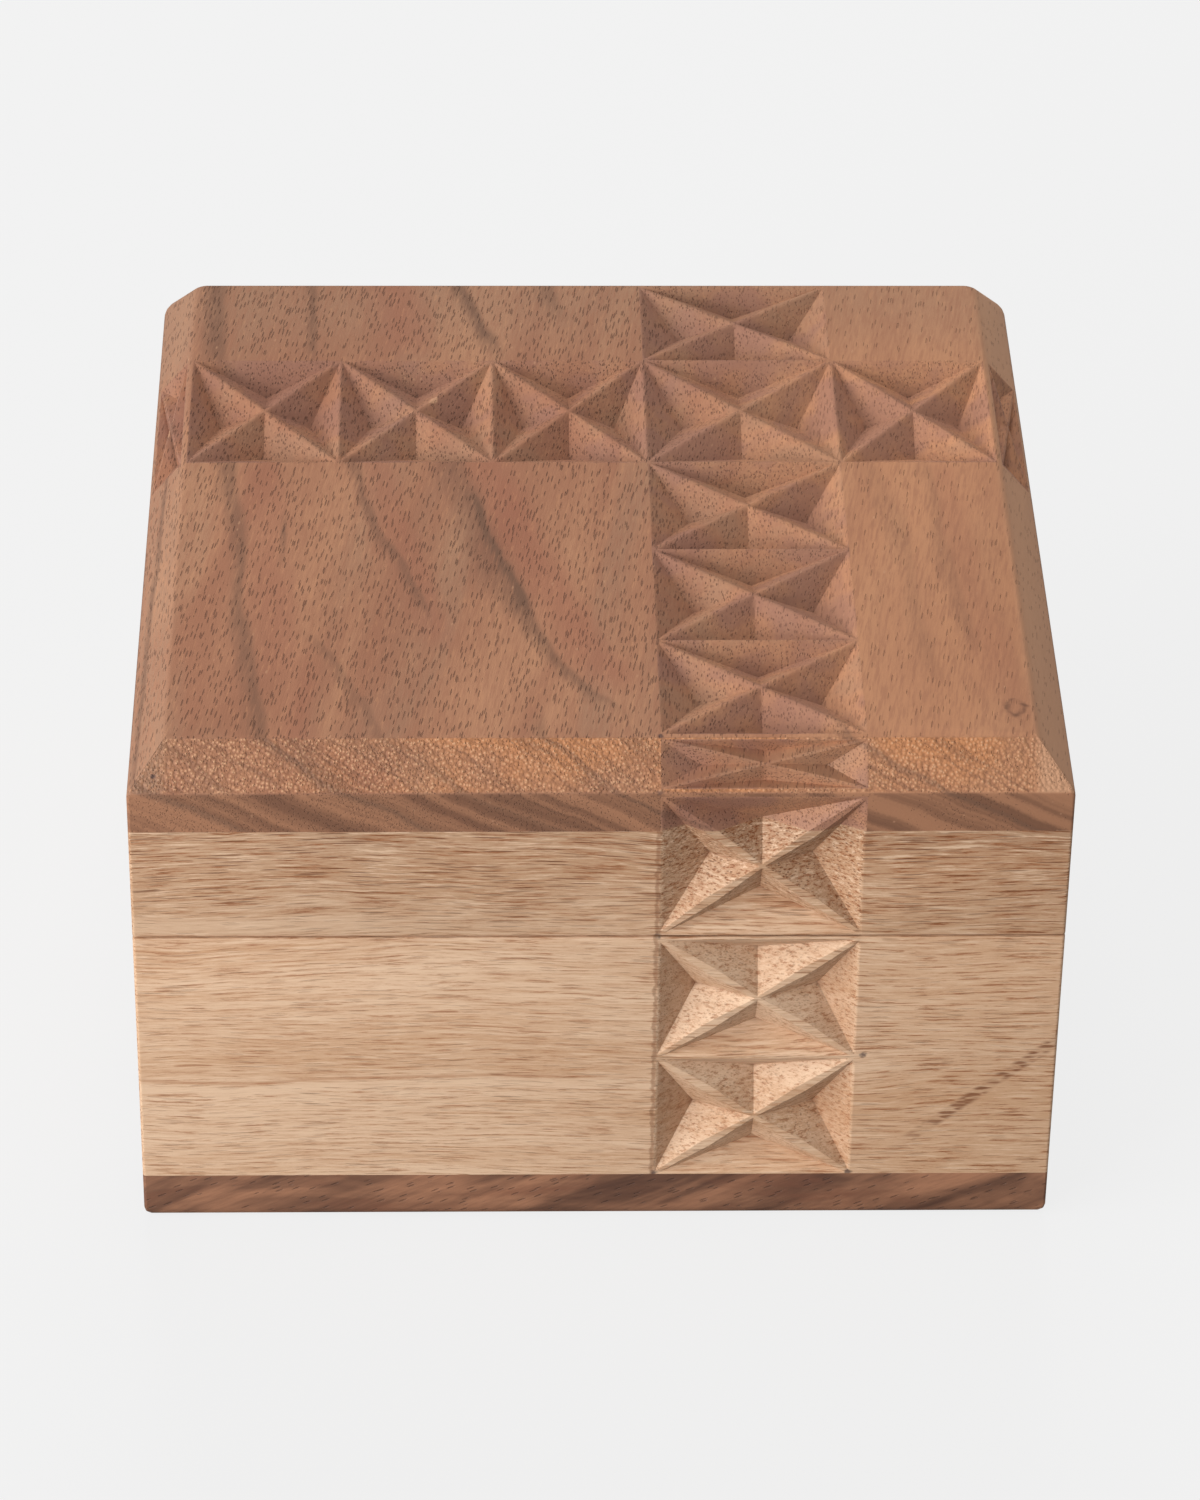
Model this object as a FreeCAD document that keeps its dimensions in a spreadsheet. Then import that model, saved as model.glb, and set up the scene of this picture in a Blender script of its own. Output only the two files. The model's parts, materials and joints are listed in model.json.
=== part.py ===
"""A square wooden puzzle box with a chip-carved ribbon wrapped round it like a parcel.

Frame: millimetres, +Z up, origin at the middle of the underside. The carved front faces -Y.
The box is a mitred frame of light wood between a dark base and a dark bevelled top board.
It was glued up closed and sawn in two, so the upper part is a lid that swivels on a corner dowel.

The hidden lock: a captive panel slides out of the underside and uncovers a button. The button
pushes a wedge along a channel under the inner floor, and the wedge lifts a wooden pin between
two cheeks inside the lid. The rest pose is closed and unlocked, with the pin down.
"""

import FreeCAD, Part
import math
import os

import Sketcher

# Driving dimensions, in millimetres: alias, size, what it measures

DIMENSIONS = [
    ("box_width", 120.0, "outside width and depth"),
    ("base_thickness", 7.3, "dark base board"),
    ("base_round", 1.2, "rounding of the base's lower edges"),
    ("wall_thickness", 11.0, "light walls of the case and rails of the lid"),
    ("seam_height", 46.9, "saw cut between case and lid"),
    ("seam_gap", 0.3, "width of the saw cut once it is closed"),
    ("board_height", 63.7, "underside of the dark top board"),
    ("board_edge", 6.0, "upright edge of the top board"),
    ("bevel_run", 4.7, "width of the top board's bevel, in plan"),
    ("bevel_rise", 5.5, "height of the top board's bevel"),
    ("ribbon_width", 26.2, "carved ribbon"),
    ("ribbon_x", 7.5, "left side of the ribbon that runs front to back"),
    ("ribbon_y", 8.6, "front side of the ribbon that runs left to right"),
    ("chip_depth", 3.4, "depth of a carved chip"),
    ("bevel_chip_depth", 1.6, "depth of a chip on the bevel"),
    ("chip_land", 0.25, "half the width of the ridge left between two chips"),
    ("floor_height", 16.2, "underside of the inner floor"),
    ("floor_thickness", 3.5, "inner floor"),
    ("post_width", 18.0, "side of the pivot post, the lock post and their blocks"),
    ("block_leg", 14.0, "leg of the triangular glue blocks"),
    ("cleat_width", 5.0, "strips that carry the inner floor"),
    ("cleat_clear", 1.0, "room left between a cleat's end and the pivot's corner"),
    ("dowel_radius", 4.5, "pivot dowel"),
    ("dowel_seat", 12.0, "depth to which the dowel is glued into the lid"),
    ("running_gap", 0.08, "clearance of the dowel in its post"),
    ("glue_gap", 0.04, "clearance round a glued dowel"),
    ("collar_radius", 8.0, "collar that stops the lid from lifting off"),
    ("collar_thickness", 6.6, "collar"),
    ("collar_gap", 0.6, "space between collar and inner floor"),
    ("cross_pin_radius", 1.2, "pin through collar and dowel"),
    ("cross_pin_length", 15.2, "pin through collar and dowel"),
    ("stop_radius", 3.0, "peg under the lid that stops its swing"),
    ("stop_circle", 16.8, "distance of the stop peg from the pivot"),
    ("stop_reach", 6.0, "how far the stop peg hangs into the case"),
    ("stop_gap", 0.3, "space between the stop peg and the wall at rest"),
    ("stop_cover", 1.3, "wood left in front of the stop peg's seat"),
    ("pin_radius", 3.5, "lock pin"),
    ("pin_gap", 0.2, "clearance of the lock pin in its post"),
    ("pin_x", 20.0, "lock pin, from the middle of the box"),
    ("pin_y", -40.0, "lock pin, wedge, button and panel run along this line"),
    ("pin_sink", 1.0, "how far the unlocked pin lies below the seam"),
    ("nose_gap", 0.15, "space between the pin's round nose and the wedge"),
    ("cheek_gap", 7.8, "slot between the lid's two cheeks"),
    ("cheek_width", 10.0, "each cheek"),
    ("wedge_width", 12.0, "lock wedge"),
    ("wedge_height", 8.0, "lock wedge at its full height"),
    ("wedge_gap", 0.3, "clearance of the wedge in its channel"),
    ("wedge_left", -34.0, "left end of the wedge"),
    ("ramp_start", 6.0, "where the wedge begins to slope down"),
    ("ramp_length", 18.5, "length of the slope"),
    ("ramp_slope", 0.4, "drop of the slope for each unit of length"),
    ("lock_travel", 12.5, "travel of the wedge"),
    ("button_radius", 4.5, "round button on the wedge"),
    ("button_x", -20.0, "button at rest"),
    ("button_seat", 5.0, "depth to which the button is glued into the wedge"),
    ("button_clear", 0.5, "room round the button in its slot"),
    ("groove_depth", 3.4, "dovetail groove under the base"),
    ("groove_mouth", 20.0, "width of the groove at the underside"),
    ("groove_root", 24.0, "width of the groove at its root"),
    ("groove_end", 8.0, "right end of the groove"),
    ("panel_gap", 0.3, "clearance of the panel in its groove"),
    ("panel_lift", 0.25, "underside of the panel above that of the base"),
    ("panel_travel", 36.0, "travel of the panel, to the left"),
    ("peg_radius", 2.0, "peg that holds the panel captive"),
    ("peg_x", -36.0, "captive peg"),
    ("peg_y", -33.0, "captive peg"),
    ("peg_reach", 1.5, "how far the captive peg enters the groove"),
    ("scoop_radius", 14.0, "ball that hollows the panel's finger scoop"),
    ("scoop_depth", 1.7, "top of the finger scoop above the underside"),
    ("scoop_x", -51.0, "finger scoop"),
]

doc = FreeCAD.newDocument("puzzle_box")
sheet = doc.addObject("Spreadsheet::Sheet", "dims")
for row, (alias, size, meaning) in enumerate(DIMENSIONS, start=1):
    sheet.set(f"A{row}", meaning)
    sheet.set(f"B{row}", str(size))
    sheet.setAlias(f"B{row}", alias)
doc.recompute()

# Places that several pieces share, as expressions on the driving dimensions

HALF = "dims.box_width / 2"
INNER = "(dims.box_width / 2 - dims.wall_thickness)"
BASE_TOP = "dims.base_thickness"
CASE_TOP = "(dims.seam_height - dims.seam_gap / 2)"
LID_BOTTOM = "(dims.seam_height + dims.seam_gap / 2)"
BOARD_BOTTOM = "dims.board_height"
BEVEL_FOOT = "(dims.board_height + dims.board_edge)"
FLOOR_BOTTOM = "dims.floor_height"
FLOOR_TOP = "(dims.floor_height + dims.floor_thickness)"
PIVOT_X = f"(-{INNER} + dims.post_width / 2)"
PIVOT_Y = f"({INNER} - dims.post_width / 2)"
STOP_X = f"(-{INNER} + dims.stop_radius + dims.stop_gap)"
STOP_Y = f"({PIVOT_Y} - sqrt(dims.stop_circle ^ 2 - ({PIVOT_X} - {STOP_X}) ^ 2))"
WEDGE_BOTTOM = "(dims.base_thickness + dims.wedge_gap)"
WEDGE_TOP = f"({WEDGE_BOTTOM} + dims.wedge_height)"
NOSE_Z = (
    f"({WEDGE_TOP} - dims.ramp_slope * (dims.pin_x - dims.ramp_start)"
    " + (dims.pin_radius + dims.nose_gap) * sqrt(1 + dims.ramp_slope ^ 2))"
)


def value(expression):
    """The number that an expression on the driving dimensions stands for."""
    return float(sheet.evalExpression(str(expression)))


def bind(feature, **expressions):
    """Ties a feature's sizes to expressions, and returns the feature."""
    for name, expression in expressions.items():
        feature.setExpression(name, str(expression))
    return feature


def place(feature, x, y, z):
    """Ties a feature's place to three expressions, and returns the feature."""
    for axis, expression in zip("xyz", (x, y, z)):
        feature.setExpression(f".Placement.Base.{axis}", str(expression))
    return feature


# Plain shapes


def block(name, low, high):
    """A rectangular block between two corners, each three expressions."""
    feature = doc.addObject("Part::Box", name)
    lengths = [f"({top}) - ({bottom})" for bottom, top in zip(low, high)]
    bind(feature, Length=lengths[0], Width=lengths[1], Height=lengths[2])
    return place(feature, *low)


def rod(name, x, y, low, high, radius):
    """An upright round rod from one height to another."""
    feature = doc.addObject("Part::Cylinder", name)
    bind(feature, Radius=radius, Height=f"({high}) - ({low})")
    return place(feature, x, y, low)


def cross_rod(name, x, y, z, length, radius):
    """A round rod along X, centred on a point."""
    feature = doc.addObject("Part::Cylinder", name)
    bind(feature, Radius=radius, Height=length)
    feature.Placement.Rotation = FreeCAD.Rotation(FreeCAD.Vector(0, 1, 0), 90)
    return place(feature, f"({x}) - ({length}) / 2", y, z)


def ball(name, x, y, z, radius):
    """A whole sphere."""
    return place(bind(doc.addObject("Part::Sphere", name), Radius=radius), x, y, z)


def cut(name, base, *tools):
    """The base with each tool taken out of it in turn. The last cut carries the name."""
    for count, tool in enumerate(tools, start=1):
        feature = doc.addObject("Part::Cut", name if count == len(tools) else f"{name}_cut_{count}")
        feature.Base = base
        feature.Tool = tool
        base = feature
    return base


def fuse(name, base, tool):
    """Two shapes that are one piece of wood."""
    feature = doc.addObject("Part::Fuse", name)
    feature.Base = base
    feature.Tool = tool
    feature.Refine = True
    return feature


# Sketched shapes


def outline(body, name, role, points, offset):
    """A closed polygon on one of the body's own planes, each corner tied to two expressions."""
    sketch = body.newObject("Sketcher::SketchObject", name)
    plane = next(p for p in body.Origin.OriginFeatures if p.Role == role)
    sketch.AttachmentSupport = [(plane, "")]
    sketch.MapMode = "FlatFace"
    sketch.setExpression(".AttachmentOffset.Base.z", str(offset))
    corners = [FreeCAD.Vector(value(across), value(up), 0) for across, up in points]
    for start, end in zip(corners, corners[1:] + corners[:1]):
        sketch.addGeometry(Part.LineSegment(start, end))
    for side in range(len(points)):
        following = (side + 1) % len(points)
        sketch.addConstraint(Sketcher.Constraint("Coincident", side, 2, following, 1))
    for side, corner in enumerate(corners):
        for kind, number, expression in zip(("DistanceX", "DistanceY"), corner, points[side]):
            index = sketch.addConstraint(Sketcher.Constraint(kind, -1, 1, side, 1, number))
            sketch.setExpression(f"Constraints[{index}]", str(expression))
    return sketch


def rectangle(low_x, low_y, high_x, high_y):
    """The four corners of a rectangle, for an outline."""
    return [(low_x, low_y), (high_x, low_y), (high_x, high_y), (low_x, high_y)]


def new_body(name):
    return doc.addObject("PartDesign::Body", name)


def pad(body, name, sketch, **expressions):
    """Raises a sketch into solid wood."""
    feature = body.newObject("PartDesign::Pad", name)
    feature.Profile = sketch
    bind(feature, **expressions)
    doc.recompute()
    return feature


def pocket(body, name, sketch, length):
    """Cuts a sketch along its plane's normal, and makes sure that it took wood away."""
    before = body.Shape.Volume
    feature = body.newObject("PartDesign::Pocket", name)
    feature.Profile = sketch
    feature.Reversed = True
    bind(feature, Length=length)
    doc.recompute()
    if body.Shape.Volume > before - 1e-6:
        raise RuntimeError(f"{name} cut nothing")
    return feature


# Chip carving: each cell of the ribbon has four three-sided chips, one against each side

CHIP_POINT = 0.37  # how far a chip's deepest point lies from its side towards the cell's middle
CHIP_OVERSHOOT = 0.05  # how far a cutter stands above the face that it cuts


def chip(side_start, side_end, middle, normal, depth):
    """The wood of one chip: a pyramid that points into the face, just clear of its neighbours."""
    corners = [side_start, side_end, middle]
    lengths = [(corners[i - 1] - corners[i - 2]).Length for i in range(3)]
    around = sum(lengths)
    heart = sum((p * length for p, length in zip(corners, lengths)), FreeCAD.Vector()) * (1 / around)
    area = (side_end - side_start).cross(middle - side_start).Length / 2
    shrink = 1 - value("dims.chip_land") * around / (2 * area)
    foot = (side_start + side_end) * 0.5
    apex = foot + (middle - foot) * CHIP_POINT - normal * depth
    grow = 1 + CHIP_OVERSHOOT / depth
    rim = [apex + (heart + (p - heart) * shrink - apex) * grow for p in corners]
    sides = [(rim[0], rim[1], rim[2]), (rim[0], apex, rim[1]), (rim[1], apex, rim[2]), (rim[2], apex, rim[0])]
    faces = [Part.Face(Part.makePolygon([*side, side[0]])) for side in sides]
    solid = Part.Solid(Part.Shell(faces))
    if solid.Volume < 0:
        solid.reverse()
    return solid


def cell(origin, across, up, spans, depth):
    """The four chips of one cell. Spans are its two limits along across and its two along up."""
    normal = across.cross(up)
    left, right, bottom, top = spans
    ring = [(left, bottom), (right, bottom), (right, top), (left, top)]
    corners = [origin + across * a + up * b for a, b in ring]
    middle = sum(corners, FreeCAD.Vector()) * 0.25
    return [chip(corners[i], corners[(i + 1) % 4], middle, normal, depth) for i in range(4)]


def steps(start, end, count):
    """Equal spans between two values."""
    size = (end - start) / count
    return [(start + size * i, start + size * (i + 1)) for i in range(count)]


def cutter(name, chips):
    """All the chips of one carved stretch, as one tool."""
    feature = doc.addObject("Part::Feature", name)
    feature.Shape = Part.makeCompound(chips)
    return feature


X_AXIS = FreeCAD.Vector(1, 0, 0)
Y_AXIS = FreeCAD.Vector(0, 1, 0)
Z_AXIS = FreeCAD.Vector(0, 0, 1)
SIDES = {"front": 0, "right": 90, "back": 180, "left": 270}  # turn about Z from the front
LONG_SIDE_CELLS = 3  # cells between the crossing and the far edge of the top
CASE_CELLS = 2  # rows of cells on a wall of the case

half = value(HALF)
ribbon_limits = {
    "front": (value("dims.ribbon_x"), value("dims.ribbon_x + dims.ribbon_width")),
    "right": (value("dims.ribbon_y"), value("dims.ribbon_y + dims.ribbon_width")),
}
ribbon_limits["back"] = tuple(-v for v in reversed(ribbon_limits["front"]))
ribbon_limits["left"] = tuple(-v for v in reversed(ribbon_limits["right"]))


def side_axes(side):
    """The directions along a side of the box and out of it."""
    turn = FreeCAD.Rotation(Z_AXIS, SIDES[side])
    return turn.multVec(X_AXIS), turn.multVec(-Y_AXIS)


def upright_chips(side, heights):
    """The chips of one upright side, for a list of spans of height."""
    along, outward = side_axes(side)
    limits = ribbon_limits[side]
    depth = value("dims.chip_depth")
    return [c for span in heights for c in cell(outward * half, along, Z_AXIS, limits + span, depth)]


def bevel_chips(side):
    """The chips of the one flat cell where the ribbon crosses the bevel."""
    along, outward = side_axes(side)
    slope = Z_AXIS * value("dims.bevel_rise") - outward * value("dims.bevel_run")
    foot = outward * half + Z_AXIS * value(BEVEL_FOOT)
    up = FreeCAD.Vector(slope).normalize()
    spans = ribbon_limits[side] + (0, slope.Length)
    return cell(foot, along, up, spans, value("dims.bevel_chip_depth"))


def top_chips():
    """The chips of the ribbon's cross on the flat top, with one cell where the two runs meet."""
    rim = half - value("dims.bevel_run")
    x_limits, y_limits = ribbon_limits["front"], ribbon_limits["right"]
    crossing = x_limits + y_limits
    run_x = steps(-rim, x_limits[0], LONG_SIDE_CELLS) + [(x_limits[1], rim)]
    run_y = steps(-rim, y_limits[0], LONG_SIDE_CELLS) + [(y_limits[1], rim)]
    spans = [crossing] + [x + y_limits for x in run_x] + [x_limits + y for y in run_y]
    origin = Z_AXIS * value(f"{BEVEL_FOOT} + dims.bevel_rise")
    return [c for s in spans for c in cell(origin, X_AXIS, Y_AXIS, s, value("dims.chip_depth"))]


case_rows = steps(value(BASE_TOP), value("dims.seam_height"), CASE_CELLS)
lid_row = [(value("dims.seam_height"), value(BEVEL_FOOT))]
case_chips = {side: cutter(f"case_chips_{side}", upright_chips(side, case_rows)) for side in SIDES}
lid_chips = {side: cutter(f"lid_chips_{side}", upright_chips(side, lid_row)) for side in SIDES}
rim_chips = cutter("rim_chips", [c for side in SIDES for c in bevel_chips(side)])
cross_chips = cutter("cross_chips", top_chips())

pieces = []


def piece(feature, label):
    """Names a finished piece and adds it to the list that is written out."""
    feature.Label = label
    pieces.append(feature)
    return feature


def mitred_stave(name, side, low, high):
    """One side of a mitred frame, at its place in the box."""
    stave = doc.addObject("Part::Wedge", name)
    bind(stave, Xmin=f"-{HALF}", Xmax=HALF, X2min=f"-{INNER}", X2max=INNER)
    bind(stave, Ymin=f"-{HALF}", Ymax=f"-{INNER}")
    bind(stave, Zmin=low, Zmax=high, Z2min=low, Z2max=high)
    stave.Placement.Rotation = FreeCAD.Rotation(Z_AXIS, SIDES[side])
    return stave


GLUE_CORNERS = {"front_left": (-1, -1), "front_right": (1, -1), "back_right": (1, 1)}


def glue_blocks(prefix, low, high):
    """Triangular blocks that hold the mitres together, in the three corners with no pivot."""
    for corner, (sign_x, sign_y) in GLUE_CORNERS.items():
        name = f"{prefix}_{corner}"
        body = new_body(name)
        near_x, near_y = f"{sign_x} * {INNER}", f"{sign_y} * {INNER}"
        far_x = f"{sign_x} * ({INNER} - dims.block_leg)"
        far_y = f"{sign_y} * ({INNER} - dims.block_leg)"
        triangle = [(near_x, near_y), (far_x, near_y), (near_x, far_y)]
        plan = outline(body, f"{name}_plan", "XY_Plane", triangle, low)
        pad(body, f"{name}_pad", plan, Length=f"{high} - {low}")
        piece(body, name)


# The base board: rounded below, with a dovetail groove, a slot for the button and a peg hole

base = new_body("base_body")
base_plan = outline(base, "base_plan", "XY_Plane", rectangle(f"-{HALF}", f"-{HALF}", HALF, HALF), 0)
base_pad = pad(base, "base_pad", base_plan, Length=BASE_TOP)
rounding = base.newObject("PartDesign::Fillet", "base_rounding")
lower_edges = [f"Edge{i}" for i, e in enumerate(base_pad.Shape.Edges, start=1) if e.BoundBox.ZMax < 1e-6]
rounding.Base = (base_pad, lower_edges)
bind(rounding, Radius="dims.base_round")
doc.recompute()

GROOVE_Y = "dims.pin_y"


def dovetail(bottom, top, gap):
    """A dovetail's section across the groove's line, narrower all round by a gap."""
    widen = "(dims.groove_root - dims.groove_mouth) / 2 / dims.groove_depth"

    def half_width(z):
        return f"(dims.groove_mouth / 2 + {widen} * ({z}) - {gap})"

    return [
        (f"{GROOVE_Y} - {half_width(bottom)}", bottom),
        (f"{GROOVE_Y} + {half_width(bottom)}", bottom),
        (f"{GROOVE_Y} + {half_width(top)}", top),
        (f"{GROOVE_Y} - {half_width(top)}", top),
    ]


PAST = 1  # how far a cut runs past the face where it opens
groove = outline(base, "groove_section", "YZ_Plane", dovetail(-PAST, "dims.groove_depth", 0), f"-{HALF}")
pocket(base, "groove", groove, f"{HALF} + dims.groove_end")

SLOT_HALF = "(dims.button_radius + dims.button_clear)"
slot_plan = rectangle(
    f"dims.button_x - {SLOT_HALF}",
    f"dims.pin_y - {SLOT_HALF}",
    f"dims.button_x + dims.lock_travel + {SLOT_HALF}",
    f"dims.pin_y + {SLOT_HALF}",
)
slot = outline(base, "slot_plan", "XY_Plane", slot_plan, 0)
pocket(base, "button_slot", slot, f"{BASE_TOP} + {PAST}")

PEG_HOLE = "dims.peg_radius + dims.glue_gap"
peg_hole = rod("peg_hole", "dims.peg_x", "dims.peg_y", -PAST, f"{BASE_TOP} + {PAST}", PEG_HOLE)
piece(cut("base_with_peg_hole", base, peg_hole), "base_board")

PEG_BOTTOM = "(dims.groove_depth - dims.peg_reach)"
captive_peg = rod("captive_peg", "dims.peg_x", "dims.peg_y", PEG_BOTTOM, BASE_TOP, "dims.peg_radius")
piece(captive_peg, "panel_stop_peg")

# The hidden panel: a dovetailed slip with a finger scoop below and a blind slot above for the peg

PANEL_BOTTOM = "dims.panel_lift"
PANEL_TOP = "(dims.groove_depth - dims.panel_gap)"
panel = new_body("panel_body")
panel_section = outline(
    panel, "panel_section", "YZ_Plane", dovetail(PANEL_BOTTOM, PANEL_TOP, "dims.panel_gap"), f"-{HALF}"
)
pad(panel, "panel_pad", panel_section, Length=f"{HALF} + dims.groove_end - dims.panel_gap")
PEG_ROOM = "(dims.peg_radius + dims.panel_gap)"
peg_slot_plan = rectangle(
    f"dims.peg_x - {PEG_ROOM}",
    f"dims.peg_y - {PEG_ROOM}",
    f"dims.peg_x + dims.panel_travel + {PEG_ROOM}",
    f"dims.peg_y + {PEG_ROOM}",
)
peg_slot = outline(panel, "peg_slot_plan", "XY_Plane", peg_slot_plan, f"{PEG_BOTTOM} - dims.panel_gap")
pocket(panel, "peg_slot", peg_slot, "dims.groove_depth")
SCOOP_Z = "dims.scoop_depth - dims.scoop_radius"
scoop = ball("finger_scoop", "dims.scoop_x", GROOVE_Y, SCOOP_Z, "dims.scoop_radius")
piece(cut("scooped_panel", panel, scoop), "base_panel")

# The case: four mitred walls, carved after they were glued up

for side in SIDES:
    wall = mitred_stave(f"wall_{side}", side, BASE_TOP, CASE_TOP)
    piece(cut(f"carved_wall_{side}", wall, case_chips[side]), f"{side}_wall")

# What carries the inner floor: the wedge's two guides and three cleats

WEDGE_FRONT = "(dims.pin_y - dims.wedge_width / 2)"
WEDGE_REAR = "(dims.pin_y + dims.wedge_width / 2)"
GUIDE_REAR = f"({WEDGE_REAR} + dims.wedge_gap + dims.cleat_width)"
piece(
    block(
        "guide_front",
        (f"-{INNER}", f"-{INNER}", BASE_TOP),
        (INNER, f"{WEDGE_FRONT} - dims.wedge_gap", FLOOR_BOTTOM),
    ),
    "wedge_guide_front",
)
piece(
    block(
        "guide_rear",
        (f"-{INNER}", f"{WEDGE_REAR} + dims.wedge_gap", BASE_TOP),
        (INNER, GUIDE_REAR, FLOOR_BOTTOM),
    ),
    "wedge_guide_rear",
)
CLEAT_INNER = f"({INNER} - dims.cleat_width)"
PIVOT_CLEAR = f"({INNER} - dims.post_width - dims.cleat_clear)"
piece(
    block(
        "cleat_left", (f"-{INNER}", GUIDE_REAR, BASE_TOP), (f"-{CLEAT_INNER}", PIVOT_CLEAR, FLOOR_BOTTOM)
    ),
    "floor_cleat_left",
)
piece(
    block("cleat_right", (CLEAT_INNER, GUIDE_REAR, BASE_TOP), (INNER, CLEAT_INNER, FLOOR_BOTTOM)),
    "floor_cleat_right",
)
piece(
    block("cleat_back", (f"-{PIVOT_CLEAR}", CLEAT_INNER, BASE_TOP), (INNER, INNER, FLOOR_BOTTOM)),
    "floor_cleat_back",
)

# The inner floor, which hides the lock: one hole for the pivot dowel, one for the lock pin

DOWEL_BORE = "(dims.dowel_radius + dims.running_gap)"
PIN_BORE = "(dims.pin_radius + dims.pin_gap)"
floor = block("floor_blank", (f"-{INNER}", f"-{INNER}", FLOOR_BOTTOM), (INNER, INNER, FLOOR_TOP))
floor_dowel_hole = rod("floor_dowel_hole", PIVOT_X, PIVOT_Y, BASE_TOP, CASE_TOP, DOWEL_BORE)
floor_pin_hole = rod("floor_pin_hole", "dims.pin_x", "dims.pin_y", BASE_TOP, CASE_TOP, PIN_BORE)
piece(cut("drilled_floor", floor, floor_dowel_hole, floor_pin_hole), "inner_floor")

# Posts on the inner floor: the pivot's in one corner, the lock pin's against the front wall

pivot_blank = block(
    "pivot_blank",
    (f"-{INNER}", f"{INNER} - dims.post_width", FLOOR_TOP),
    (f"-{INNER} + dims.post_width", INNER, CASE_TOP),
)
pivot_bore = rod("pivot_bore", PIVOT_X, PIVOT_Y, BASE_TOP, BOARD_BOTTOM, DOWEL_BORE)
piece(cut("drilled_pivot_post", pivot_blank, pivot_bore), "pivot_post")

lock_blank = block(
    "lock_blank",
    ("dims.pin_x - dims.post_width / 2", f"-{INNER}", FLOOR_TOP),
    ("dims.pin_x + dims.post_width / 2", f"-{INNER} + dims.post_width", CASE_TOP),
)
lock_bore = rod("lock_bore", "dims.pin_x", "dims.pin_y", BASE_TOP, BOARD_BOTTOM, PIN_BORE)
piece(cut("drilled_lock_post", lock_blank, lock_bore), "lock_post")

glue_blocks("case_block", FLOOR_TOP, CASE_TOP)

# The lock: a wedge with a round button under it, and the pin that rides on its slope

wedge = new_body("wedge_body")
TIP_X = "(dims.ramp_start + dims.ramp_length)"
wedge_side = [
    ("dims.wedge_left", WEDGE_BOTTOM),
    (TIP_X, WEDGE_BOTTOM),
    (TIP_X, f"{WEDGE_TOP} - dims.ramp_slope * dims.ramp_length"),
    ("dims.ramp_start", WEDGE_TOP),
    ("dims.wedge_left", WEDGE_TOP),
]
wedge_profile = outline(wedge, "wedge_profile", "XZ_Plane", wedge_side, "-dims.pin_y - dims.wedge_width / 2")
pad(wedge, "wedge_pad", wedge_profile, Length="dims.wedge_width")
BUTTON_TOP = f"({WEDGE_BOTTOM} + dims.button_seat)"
button_hole = rod(
    "button_hole", "dims.button_x", "dims.pin_y", 0, BUTTON_TOP, "dims.button_radius + dims.glue_gap"
)
piece(cut("drilled_wedge", wedge, button_hole), "lock_wedge")
BUTTON_BOTTOM = "dims.groove_depth + dims.panel_gap"
button = rod("button_rod", "dims.button_x", "dims.pin_y", BUTTON_BOTTOM, BUTTON_TOP, "dims.button_radius")
piece(button, "lock_button")

PIN_TOP = f"{CASE_TOP} - dims.pin_sink"
pin_shank = rod("pin_shank", "dims.pin_x", "dims.pin_y", NOSE_Z, PIN_TOP, "dims.pin_radius")
pin_nose = ball("pin_nose", "dims.pin_x", "dims.pin_y", NOSE_Z, "dims.pin_radius")
piece(fuse("round_nosed_pin", pin_shank, pin_nose), "lock_pin")

# The lid: mitred rails under a bevelled top board, carved together as one

for side in SIDES:
    rail = mitred_stave(f"rail_{side}", side, LID_BOTTOM, BOARD_BOTTOM)
    piece(cut(f"carved_rail_{side}", rail, lid_chips[side]), f"lid_{side}_rail")

board = new_body("board_body")
board_plan = rectangle(f"-{HALF}", f"-{HALF}", HALF, HALF)
edge_plan = outline(board, "edge_plan", "XY_Plane", board_plan, BOARD_BOTTOM)
pad(board, "board_edge_pad", edge_plan, Length="dims.board_edge")
bevel_plan = outline(board, "bevel_plan", "XY_Plane", board_plan, BEVEL_FOOT)
pad(
    board,
    "board_bevel_pad",
    bevel_plan,
    Length="dims.bevel_rise",
    TaperAngle="-atan(dims.bevel_run / dims.bevel_rise)",
)
board_tools = [cross_chips, rim_chips, *lid_chips.values()]
piece(cut("carved_board", board, *board_tools), "lid_top_board")

glue_blocks("lid_block", LID_BOTTOM, BOARD_BOTTOM)

# Inside the lid: the block that holds dowel and stop peg, and the two cheeks of the lock

pivot_block = block(
    "pivot_block_blank",
    (f"-{INNER}", f"{STOP_Y} - dims.stop_radius - dims.stop_cover", LID_BOTTOM),
    (f"-{INNER} + dims.post_width", INNER, BOARD_BOTTOM),
)
DOWEL_TOP = f"({LID_BOTTOM} + dims.dowel_seat)"
dowel_seat = rod("dowel_seat", PIVOT_X, PIVOT_Y, 0, DOWEL_TOP, "dims.dowel_radius + dims.glue_gap")
STOP_TOP = f"({LID_BOTTOM} + dims.stop_reach)"
stop_seat = rod("stop_seat", STOP_X, STOP_Y, 0, STOP_TOP, "dims.stop_radius + dims.glue_gap")
piece(cut("drilled_pivot_block", pivot_block, dowel_seat, stop_seat), "lid_pivot_block")
piece(
    rod("stop_rod", STOP_X, STOP_Y, f"{LID_BOTTOM} - dims.stop_reach", STOP_TOP, "dims.stop_radius"),
    "lid_stop_peg",
)
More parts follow.
